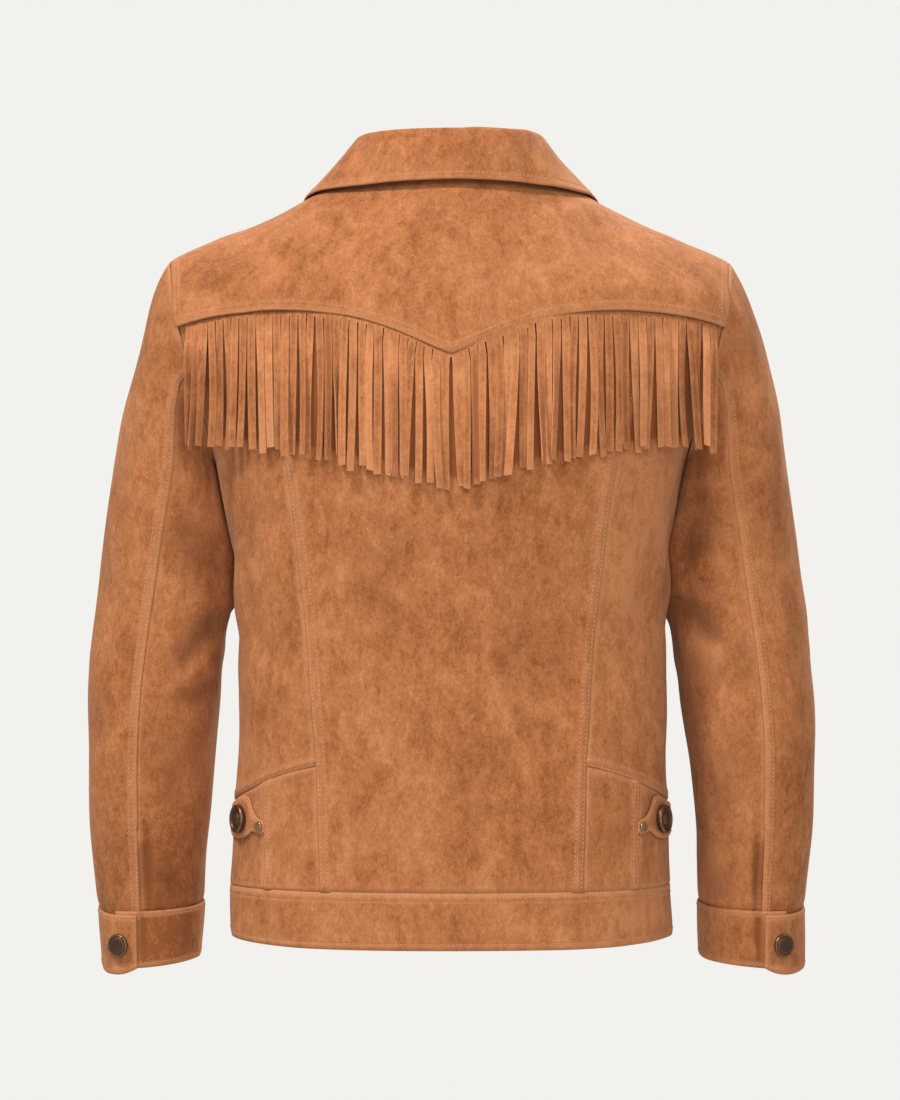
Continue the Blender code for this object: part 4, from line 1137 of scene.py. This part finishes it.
def row_places(cloth, run, offset, pitch):
    """Middle, direction and normal of every stitch of one row."""
    line = cloth.before[run]
    reach = run_of(line)
    count = int((reach[-1] - 1.2 * offset) / pitch)
    if count < 2:
        return []
    at = (reach[-1] - count * pitch) / 2 + (np.arange(count) + 0.5) * pitch
    places = read_along(at, reach, line)
    along = read_along(at + pitch, reach, line) - read_along(at - pitch, reach, line)
    along /= np.linalg.norm(along, axis=1)[:, None]
    inward = np.cross(read_along(at, reach, cloth.rest_normals[run]), along)
    inward /= np.linalg.norm(inward, axis=1)[:, None]
    tree = cloth_tree([cloth])
    middle = count // 2
    tries = [tree.find_nearest(Vector(places[middle] + sign * inward[middle] * 0.012))[3]
             for sign in (1, -1)]
    inward *= 1 if tries[0] < tries[1] else -1
    out = []
    for k in range(count):
        spot, normal, _, _ = tree.find_nearest(Vector(places[k] + inward[k] * offset))
        out.append((spot, Vector(along[k]), normal))
    return out


def slit_bar(cloth, pitch):
    """Places of the two short rows across the seam that hold the top of a sleeve's slit."""
    run = cloth.side(BEHIND)
    at = run[int(np.abs(cloth.before[run][:, 2] - SLIT_TOP).argmin())]
    tree, top = cloth_tree([cloth]), cloth.before[at]
    out = []
    for row in (0.0, -BAR_DROP):
        for k in range(3):
            guess = top + np.array((cloth.sign * (0.0012 + k * pitch), 0.0, row))
            spot, normal, _, _ = tree.find_nearest(Vector(guess))
            out.append((spot, Vector((0.0, 0.0, 1.0)).cross(normal).normalized(), normal))
    return out


def stitch_places(cloth, pitch, dice):
    """Middle, direction and normal of every stitch of one piece, a little out of line."""
    out = []
    for offset, ways in cloth.cut.rows:
        for way in ways:
            for spot, along, normal in row_places(cloth, cloth.side(way), offset, pitch):
                across = normal.cross(along).normalized()
                tilt = dice.uniform(-STITCH_TILT, STITCH_TILT)
                out.append((spot, (along + across * tilt).normalized(), normal))
    if cloth.cut.node == "sleeve_upper":
        out += slit_bar(cloth, pitch)
    return out


def stitched(name, cloths):
    """Every row of topstitching of some cloth pieces, as one joined mesh."""
    settings = bpy.context.scene.jacket_cloth
    one = bmesh.new()
    bmesh.ops.create_icosphere(one, subdivisions=1, radius=0.5)
    bmesh.ops.scale(one, verts=one.verts, vec=(settings.stitch, settings.thread_width,
                                               settings.thread_width * 0.85))
    seed = np.array([vert.co for vert in one.verts])
    faces = np.array([[vert.index for vert in face.verts] for face in one.faces])
    one.free()
    dice = random.Random(17)
    points, index = [], []
    for cloth in cloths:
        for spot, along, normal in stitch_places(cloth, settings.pitch, dice):
            across = normal.cross(along).normalized()
            index.append(faces + len(points) * len(seed))
            points.append(seed @ np.array([along, across, normal])
                          + np.array(spot + normal * STITCH_PROUD))
    mesh = bpy.data.meshes.new(name)
    mesh.from_pydata(np.concatenate(points).tolist(), [], np.concatenate(index).tolist())
    for polygon in mesh.polygons:
        polygon.use_smooth = True
    piece = show(name, mesh, "thread")
    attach(piece, "root")


# ---------------------------------------------------------------- fringe
FRINGE_MARGIN = 0.009     # bare cloth at each end of the fringe
FRINGE_TUCK = 0.0075      # how far it is sewn in above the yoke's edge
STRIP_TOP = 0.0052        # where a strip starts to hang, below the yoke's edge
STRIP_HALF = 0.478        # half width of a full strip, as a share of the pitch
STRIP_STEPS = 16
STRIP_WALL = 0.0013
STRIP_CLEAR = 0.0021      # least distance of a strip from the cloth behind it
BACK_REACH = 0.192        # further out than this nothing lies behind the strips
# height below which the strips are free of the yoke's shade, by distance from the middle
SHADE_LINE = ((0.0, 0.1, 0.24), (-0.164, -0.130, -0.142))


def behind_at(tree, x, z):
    """Depth of the cloth's outer face at x and height z, seen from the back."""
    hit = tree.ray_cast(Vector((x, 0.4, z)), Vector((0.0, -1.0, 0.0)))
    return hit[0].y if hit[0] else None


def fringe_roots():
    """Total length of the yoke's lower edge, and a way to find points beneath that edge."""
    yoke = SEWN["back_yoke"]
    run = yoke.side(DOWN)
    line, normals = yoke.before[run], yoke.rest_normals[run]
    if line[0][0] > line[-1][0]:
        line, normals = line[::-1], normals[::-1]
    reach = run_of(line)

    def root(run, up):
        """Point under the yoke, at a length run along its edge and up from it."""
        point, ahead, behind = (Vector(read_along(at, reach, line))
                                for at in (run, run + 0.002, run - 0.002))
        normal = Vector(read_along(run, reach, normals)).normalized()
        rise = normal.cross((ahead - behind).normalized())
        rise = rise if rise.z > 0 else -rise
        return point + rise * up - normal * (0.0022 - 0.0005 * min(1.0, max(0.0, -up / 0.003)))

    return reach[-1], root


def strip_traits(dice, places):
    """How each strip hangs, from the side-to-side places of their tops."""
    settings = bpy.context.scene.jacket_fringe
    ends = np.array(STRIP_ENDS)
    lean, strips = 0.0, []
    for k, x in enumerate(places):
        lean = lean * 0.35 + dice.gauss(0.0, 0.0023)
        out = math.copysign(0.0052 * float(fade(abs(x), 0.13, 0.095)), x)
        swing = 0.55 if abs(x) > 0.2 else 0.0
        strips.append({
            "end": float(np.interp(abs(x), ends[:, 0], ends[:, 1]))
            + dice.gauss(0.0, 0.0014) + 0.0012 * math.sin(k * 1.7),
            "lean": lean + out, "stray": lean * settings.stray,
            "bow": dice.gauss(0.0, 0.0009) * settings.stray,
            "twist": (math.copysign(swing, x) + dice.choice((-1, 1))
                      * min(1.2, abs(dice.gauss(0.12, 0.48)))) * settings.twist,
            "tone": dice.gauss(-0.12, 0.85), "narrow": dice.uniform(0.0, 0.13),
            "turn": dice.uniform(0.35, 1.0), "lift": abs(dice.gauss(0.0016, 0.0030)),
            "cut": dice.gauss(0.0, 0.12), "cup": dice.uniform(-0.0004, 0.0008)})
    return strips


def strip_row(strip, tops, f, tree):
    """The three points across one strip, a share f of the way down it."""
    middle, across = tops[1], tops[2] - tops[0]
    width = across.length
    across = Vector((across.x, across.y * (1 - f * 0.5), 0.0)).normalized()
    facing = Vector((0.0, 0.0, 1.0)).cross(across)
    facing = facing if facing.y > 0 else -facing
    x = middle.x + strip["stray"] * f ** 1.5 + (strip["lean"] - strip["stray"]) * f * f
    x += strip["bow"] * math.sin(f * math.pi)
    z = middle.z + (strip["end"] - middle.z) * f
    y = behind_at(tree, max(-BACK_REACH, min(BACK_REACH, x)), z)
    wall = y if y is not None else strip.get("y", middle.y)
    clear = (STRIP_CLEAR + strip["lift"] * f
             + abs(math.sin(strip["twist"] * f)) * width * 0.42)
    fallen = float(smooth(f * 5.0))
    y = wall + clear * fallen + (middle.y - wall) * (1.0 - fallen)
    strip["y"] = y = max(y, strip.get("y", middle.y) - 0.0016)
    angle = strip["twist"] * float(smooth(f / strip["turn"]))
    wide = width * (1.0 - strip["narrow"] * f)
    side = across * math.cos(angle) + facing * math.sin(angle)
    front = facing * math.cos(angle) - across * math.sin(angle)
    points = []
    for share in (-0.5, 0.0, 0.5):
        low = strip["cut"] * share * width * 1.2 if f == 1.0 else 0.0
        cup = 0.0 if share else strip["cup"] * float(smooth(f * 3))
        points.append(Vector((x, y, z + low)) + side * wide * share + front * cup)
    return points


def hang_fringe():
    """One comb of cut strips: an uncut margin under the yoke and its hanging strips."""
    count = bpy.context.scene.jacket_fringe.strands
    dice = random.Random(41)
    reach, root = fringe_roots()
    pitch = (reach - 2 * FRINGE_MARGIN) / count
    tree = cloth_tree([SEWN["back_center_panel"], SEWN["back_side_panel_left"],
                       SEWN["back_side_panel_right"]])
    widths = [dice.uniform(0.88, 1.0) for _ in range(count)]
    slits = [dice.uniform(0.0014, 0.0046) for _ in range(count + 1)]
    columns = []          # runs of the three lines down every strip
    for k in range(count):
        middle = FRINGE_MARGIN + (k + 0.5) * pitch + dice.uniform(-0.0003, 0.0003)
        half = pitch * STRIP_HALF * widths[k]
        columns += [middle - half, middle, middle + half]
    bm = bmesh.new()
    bmesh.ops.create_grid(bm, x_segments=len(columns) - 1, y_segments=3, size=1.0)
    lower = {}            # the lowest vertex of every column so far
    for vert in bm.verts:
        i = round((vert.co.x + 1) / 2 * (len(columns) - 1))
        j = round((vert.co.y + 1) / 2 * 3)
        if j == 0:
            lower[i] = vert
        before, after = slits[i // 3], slits[i // 3 + 1]
        part = (before, (before + after) / 2 + 0.0006, after)[i % 3]
        vert.co = root(columns[i], FRINGE_TUCK - (FRINGE_TUCK + part) * (3 - j) / 3)
    strips = strip_traits(dice, [root(column, 0.0).x for column in columns[1::3]])
    tones = {}
    for step in range(1, STRIP_STEPS + 1):
        edges = [bm.edges.get((lower[i], lower[i + 1]))
                 for i in range(len(columns)) if i % 3 < 2]
        grown = bmesh.ops.extrude_edge_only(bm, edges=edges)["geom"]
        new = [item for item in grown if isinstance(item, bmesh.types.BMVert)]
        below = {}
        for vert in new:
            for edge in vert.link_edges:
                other = edge.other_vert(vert)
                if other not in new:
                    below[other] = vert
        lower = {i: below[vert] for i, vert in lower.items()}
        for k, strip in enumerate(strips):
            own = (3 * k, 3 * k + 1, 3 * k + 2)
            tops = [root(columns[i], -STRIP_TOP) for i in own]
            for i, point in zip(own, strip_row(strip, tops, step / STRIP_STEPS, tree)):
                lower[i].co = point
                tones[lower[i]] = strip["tone"]
    bmesh.ops.recalc_face_normals(bm, faces=bm.faces)
    if sum(face.normal.y for face in bm.faces) < 0:
        bmesh.ops.reverse_faces(bm, faces=bm.faces)
    for edge in bm.edges:
        edge.smooth = not edge.is_boundary
    for face in bm.faces:
        face.smooth = True
    put_in_order(bm)
    tones = [tones.get(vert, 0.0) for vert in bm.verts]
    mesh = mesh_of("fringe_strips", bm)
    piece = show("fringe_strips", mesh, "suede_fringe", "suede_fringe")
    points = points_of(mesh)
    border = np.zeros(len(points))
    border[np.unique(rim_edges(mesh))] = 0.7
    top = np.interp(np.abs(points[:, 0]), *SHADE_LINE)
    note(mesh, "edge", border)
    # painted shade of the yoke on the tops of the strips
    note(mesh, "painted_shade", 0.22 * (1 - smooth((top - points[:, 2]) / 0.018)))
    note(mesh, "tone", tones)
    note(mesh, "nap_and_painted_light", brushed(points, np.tile((0.0, 1.0, 0.0), (len(points), 1))))
    wall = piece.modifiers.new("hide", "SOLIDIFY")
    wall.thickness, wall.offset, wall.use_even_offset = STRIP_WALL, -1.0, True
    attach(piece, "root")
    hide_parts("fringe")


# ---------------------------------------------------------------- buttons
# profile rows: share of the radius, share of the thickness, how far it is rubbed
BUTTON_PROFILE = (
    (0.93, 0.00, 0.0), (0.985, 0.12, 0.1), (1.00, 0.34, 0.3), (1.00, 0.60, 0.5),
    (0.975, 0.84, 0.9), (0.93, 0.97, 1.0), (0.88, 1.00, 1.0), (0.83, 0.96, 0.8),
    (0.79, 0.84, 0.3), (0.765, 0.66, 0.0), (0.72, 0.56, 0.0), (0.60, 0.52, 0.1),
    (0.47, 0.52, 0.1), (0.42, 0.56, 0.2), (0.385, 0.70, 0.6), (0.35, 0.80, 0.9),
    (0.30, 0.84, 0.8), (0.20, 0.87, 0.6), (0.10, 0.885, 0.5), (0.0, 0.89, 0.5))
SNAP_PROFILE = (
    (0.93, 0.00, 0.0), (0.985, 0.14, 0.2), (1.00, 0.36, 0.4), (0.985, 0.58, 0.7),
    (0.94, 0.74, 1.0), (0.88, 0.80, 1.0), (0.83, 0.78, 0.6), (0.80, 0.70, 0.1),
    (0.77, 0.69, 0.0), (0.74, 0.76, 0.3), (0.68, 0.85, 0.6), (0.56, 0.93, 0.5),
    (0.40, 0.98, 0.4), (0.20, 1.00, 0.4), (0.0, 1.00, 0.4))
STUD_PROFILE = (
    (0.94, 0.00, 0.0), (1.00, 0.30, 0.4), (0.99, 0.62, 0.8), (0.92, 0.86, 1.0),
    (0.80, 0.93, 1.0), (0.68, 0.86, 0.6), (0.60, 0.68, 0.1), (0.50, 0.64, 0.1),
    (0.40, 0.74, 0.6), (0.22, 0.86, 0.8), (0.0, 0.90, 0.8))


def turned(node, profile, finish, segments=40):
    """A round metal piece spun in place of its solid, on that solid's own axis."""
    points = np.unique(np.round(points_of(NODES[node].data), 7), axis=0)
    low, high = points.min(axis=0), points.max(axis=0)
    centre = (low + high) / 2
    normal = np.linalg.svd(points - points.mean(axis=0))[2][2]
    # a piece faces away from the middle line of the arm or body that it lies on
    heart = math.copysign(0.25, centre[0]) if node.startswith("cuff") else 0.0
    outward = centre - np.array((heart, -0.03, centre[2]))
    normal *= 1.0 if normal.dot(outward) > 0 else -1.0
    along = (points - centre) @ normal
    across = points - centre - along[:, None] * normal
    radius, thick = np.linalg.norm(across, axis=1).max(), along.max() - along.min()
    base = Vector(centre + normal * along.min())
    axis = Vector(normal)
    side = axis.orthogonal().normalized()
    bm = bmesh.new()
    rub = bm.verts.layers.float.new("rim")
    line = []
    for reach, height, worn in profile:
        vert = bm.verts.new(base + side * radius * reach + axis * thick * height)
        vert[rub] = worn
        line.append(vert)
    edges = [bm.edges.new(pair) for pair in zip(line, line[1:])]
    bmesh.ops.spin(bm, geom=line + edges, cent=base, axis=axis, dvec=(0, 0, 0),
                   angle=2 * math.pi, steps=segments, use_merge=True)
    bmesh.ops.remove_doubles(bm, verts=bm.verts, dist=MERGE)
    bmesh.ops.contextual_create(bm, geom=[edge for edge in bm.edges if edge.is_boundary])
    bmesh.ops.recalc_face_normals(bm, faces=bm.faces)
    for face in bm.faces:
        face.smooth = len(face.verts) < 5
    put_in_order(bm)
    piece = show(node + "_turned", mesh_of(node + "_turned", bm), finish)
    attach(piece, "root")
    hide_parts(node)


def all_trim():
    """Buttons, snaps and studs."""
    for side in ("_left", "_right"):
        turned("hip_button" + side, BUTTON_PROFILE, "bronze", 48)
        turned("cuff_snap" + side, SNAP_PROFILE, "bronze", 48)
        turned("hip_stud" + side, STUD_PROFILE, "brass", 32)
    for node in sorted(NODES):
        if node.startswith("front_button"):
            turned(node, SNAP_PROFILE, "bronze", 40)


# ---------------------------------------------------------------- stage
FLOOR_RADIUS, FLOOR_Z = 1.6, -1.45
LAMP_AIM = (0.0, 0.0, -0.34)
EYE = (0.00085, 3.5, -0.325)


def stage():
    """A pale floor, four soft lamps, the backdrop and the camera."""
    settings = bpy.context.scene.jacket_stage
    scene = bpy.context.scene
    scene.view_settings.view_transform = "Standard"
    g = Graph("pale_floor")
    # the lamps make up what the floor's paint lacks against the backdrop
    g.drive(Base_Color=tuple(c * settings.paint for c in settings.backdrop), Roughness=0.9,
            Specular_IOR_Level=0.1)
    bm = bmesh.new()
    bmesh.ops.create_circle(bm, cap_ends=True, segments=96, radius=FLOOR_RADIUS)
    bmesh.ops.translate(bm, verts=bm.verts, vec=(0.0, 0.0, FLOOR_Z))
    floor = show("floor", mesh_of("floor", bm))
    floor.data.materials.append(g.material)

    world = bpy.data.worlds.new("studio")
    scene.world = world
    world.use_nodes = True
    # the pale backdrop as seen, and the weaker light that it gives
    tree = world.node_tree
    seen = tree.nodes["Background"]
    given = tree.nodes.new("ShaderNodeBackground")
    for backdrop, strength in ((seen, 1.0), (given, settings.ambient)):
        backdrop.inputs["Color"].default_value = (*settings.backdrop, 1.0)
        backdrop.inputs["Strength"].default_value = strength
    rays, either = tree.nodes.new("ShaderNodeLightPath"), tree.nodes.new("ShaderNodeMixShader")
    tree.links.new(rays.outputs["Is Camera Ray"], either.inputs["Fac"])
    tree.links.new(given.outputs["Background"], either.inputs[1])
    tree.links.new(seen.outputs["Background"], either.inputs[2])
    tree.links.new(either.outputs["Shader"], tree.nodes["World Output"].inputs["Surface"])

    for name, power, size, place in (
            ("key", settings.key, 0.8, (1.6, 1.6, 2.6)),
            ("fill", settings.fill, 1.8, (-0.5, 3.0, 1.3)),
            ("far_key", settings.key, 1.3, (-1.2, -1.8, 2.5)),
            ("low_fill", settings.fill * 0.55, 2.0, (-0.1, 2.8, -0.9))):
        light = bpy.data.lights.new(name, "AREA")
        light.energy, light.size, light.shape = power, size, "DISK"
        lamp = bpy.data.objects.new(name, light)
        lamp.location = place
        aim = Vector(LAMP_AIM) - Vector(place)
        lamp.rotation_euler = aim.to_track_quat("-Z", "Y").to_euler()
        scene.collection.objects.link(lamp)

    camera = bpy.data.cameras.new("camera")
    camera.sensor_fit = "VERTICAL"
    camera.sensor_width = camera.sensor_height = 36.0
    camera.lens = settings.lens
    camera.clip_start, camera.clip_end = 0.05, 30.0
    eye = bpy.data.objects.new("camera", camera)
    eye.location = EYE
    eye.rotation_euler = (math.radians(90.0), 0.0, math.radians(180.0))
    scene.collection.objects.link(eye)
    scene.camera = eye


# ---------------------------------------------------------------- operators
class JACKET_OT_body(bpy.types.Operator):
    """Sew the yoke, the back and front panels and the hem band"""
    bl_idname = "jacket.body"
    bl_label = "Body panels"

    def execute(self, context):
        sew_all(BODY_CUTS, BODY_FOLDS)
        return {"FINISHED"}


class JACKET_OT_sleeves(bpy.types.Operator):
    """Sew the two-piece sleeves"""
    bl_idname = "jacket.sleeves"
    bl_label = "Sleeves"

    def execute(self, context):
        sew_all(SLEEVE_CUTS, SLEEVE_FOLDS)
        return {"FINISHED"}


class JACKET_OT_cuffs(bpy.types.Operator):
    """Sew the cuffs"""
    bl_idname = "jacket.cuffs"
    bl_label = "Cuffs"

    def execute(self, context):
        sew_all(CUFF_CUTS, CUFF_FOLDS)
        return {"FINISHED"}


class JACKET_OT_collar(bpy.types.Operator):
    """Sew the collar"""
    bl_idname = "jacket.collar"
    bl_label = "Collar"

    def execute(self, context):
        sew_all(COLLAR_CUTS, {})
        return {"FINISHED"}


class JACKET_OT_tabs(bpy.types.Operator):
    """Sew the adjuster tabs at the hips"""
    bl_idname = "jacket.tabs"
    bl_label = "Hip tabs"

    def execute(self, context):
        sew_all(TAB_CUTS, {})
        return {"FINISHED"}


class JACKET_OT_fringe(bpy.types.Operator):
    """Cut and hang the strip fringe under the yoke"""
    bl_idname = "jacket.fringe"
    bl_label = "Fringe"

    def execute(self, context):
        hang_fringe()
        return {"FINISHED"}


class JACKET_OT_trim(bpy.types.Operator):
    """Turn the buttons, snaps and studs"""
    bl_idname = "jacket.trim"
    bl_label = "Buttons and snaps"

    def execute(self, context):
        all_trim()
        return {"FINISHED"}


class JACKET_OT_stitches(bpy.types.Operator):
    """Run the topstitching along every seam"""
    bl_idname = "jacket.stitches"
    bl_label = "Topstitching"

    def execute(self, context):
        for name, cuts in (("body", BODY_CUTS), ("sleeve", SLEEVE_CUTS), ("cuff", CUFF_CUTS),
                           ("collar", COLLAR_CUTS), ("tab", TAB_CUTS)):
            stitched("topstitch_" + name, [cloth for cloth in SEWN.values()
                                           if cloth.cut in cuts and cloth.cut.rows])
        return {"FINISHED"}


class JACKET_OT_stage(bpy.types.Operator):
    """Set out the floor, the lights and the camera"""
    bl_idname = "jacket.stage"
    bl_label = "Stage"

    def execute(self, context):
        stage()
        return {"FINISHED"}


STEPS = (JACKET_OT_body, JACKET_OT_sleeves, JACKET_OT_cuffs, JACKET_OT_collar,
         JACKET_OT_tabs, JACKET_OT_fringe, JACKET_OT_trim, JACKET_OT_stitches,
         JACKET_OT_stage)


class JACKET_PT_panel(bpy.types.Panel):
    """The jacket's settings and steps"""
    bl_idname = "JACKET_PT_panel"
    bl_label = "Fringed Jacket"
    bl_space_type = "VIEW_3D"
    bl_region_type = "UI"
    bl_category = "Jacket"

    def draw(self, context):
        for step in STEPS:
            self.layout.operator(step.bl_idname)
        for name, group in GROUPS:
            box = self.layout.box()
            box.label(text=group.__doc__)
            for key in group.__annotations__:
                box.prop(getattr(context.scene, name), key)


def register():
    for name, group in GROUPS:
        bpy.utils.register_class(group)
        setattr(bpy.types.Scene, name, bpy.props.PointerProperty(type=group))
    for step in STEPS:
        bpy.utils.register_class(step)
    bpy.utils.register_class(JACKET_PT_panel)


def unregister():
    bpy.utils.unregister_class(JACKET_PT_panel)
    for step in reversed(STEPS):
        bpy.utils.unregister_class(step)
    for name, group in reversed(GROUPS):
        delattr(bpy.types.Scene, name)
        bpy.utils.unregister_class(group)


def main():
    register()
    for step in STEPS:
        area, name = step.bl_idname.split(".")
        getattr(getattr(bpy.ops, area), name)()


if __name__ == "__main__":
    main()
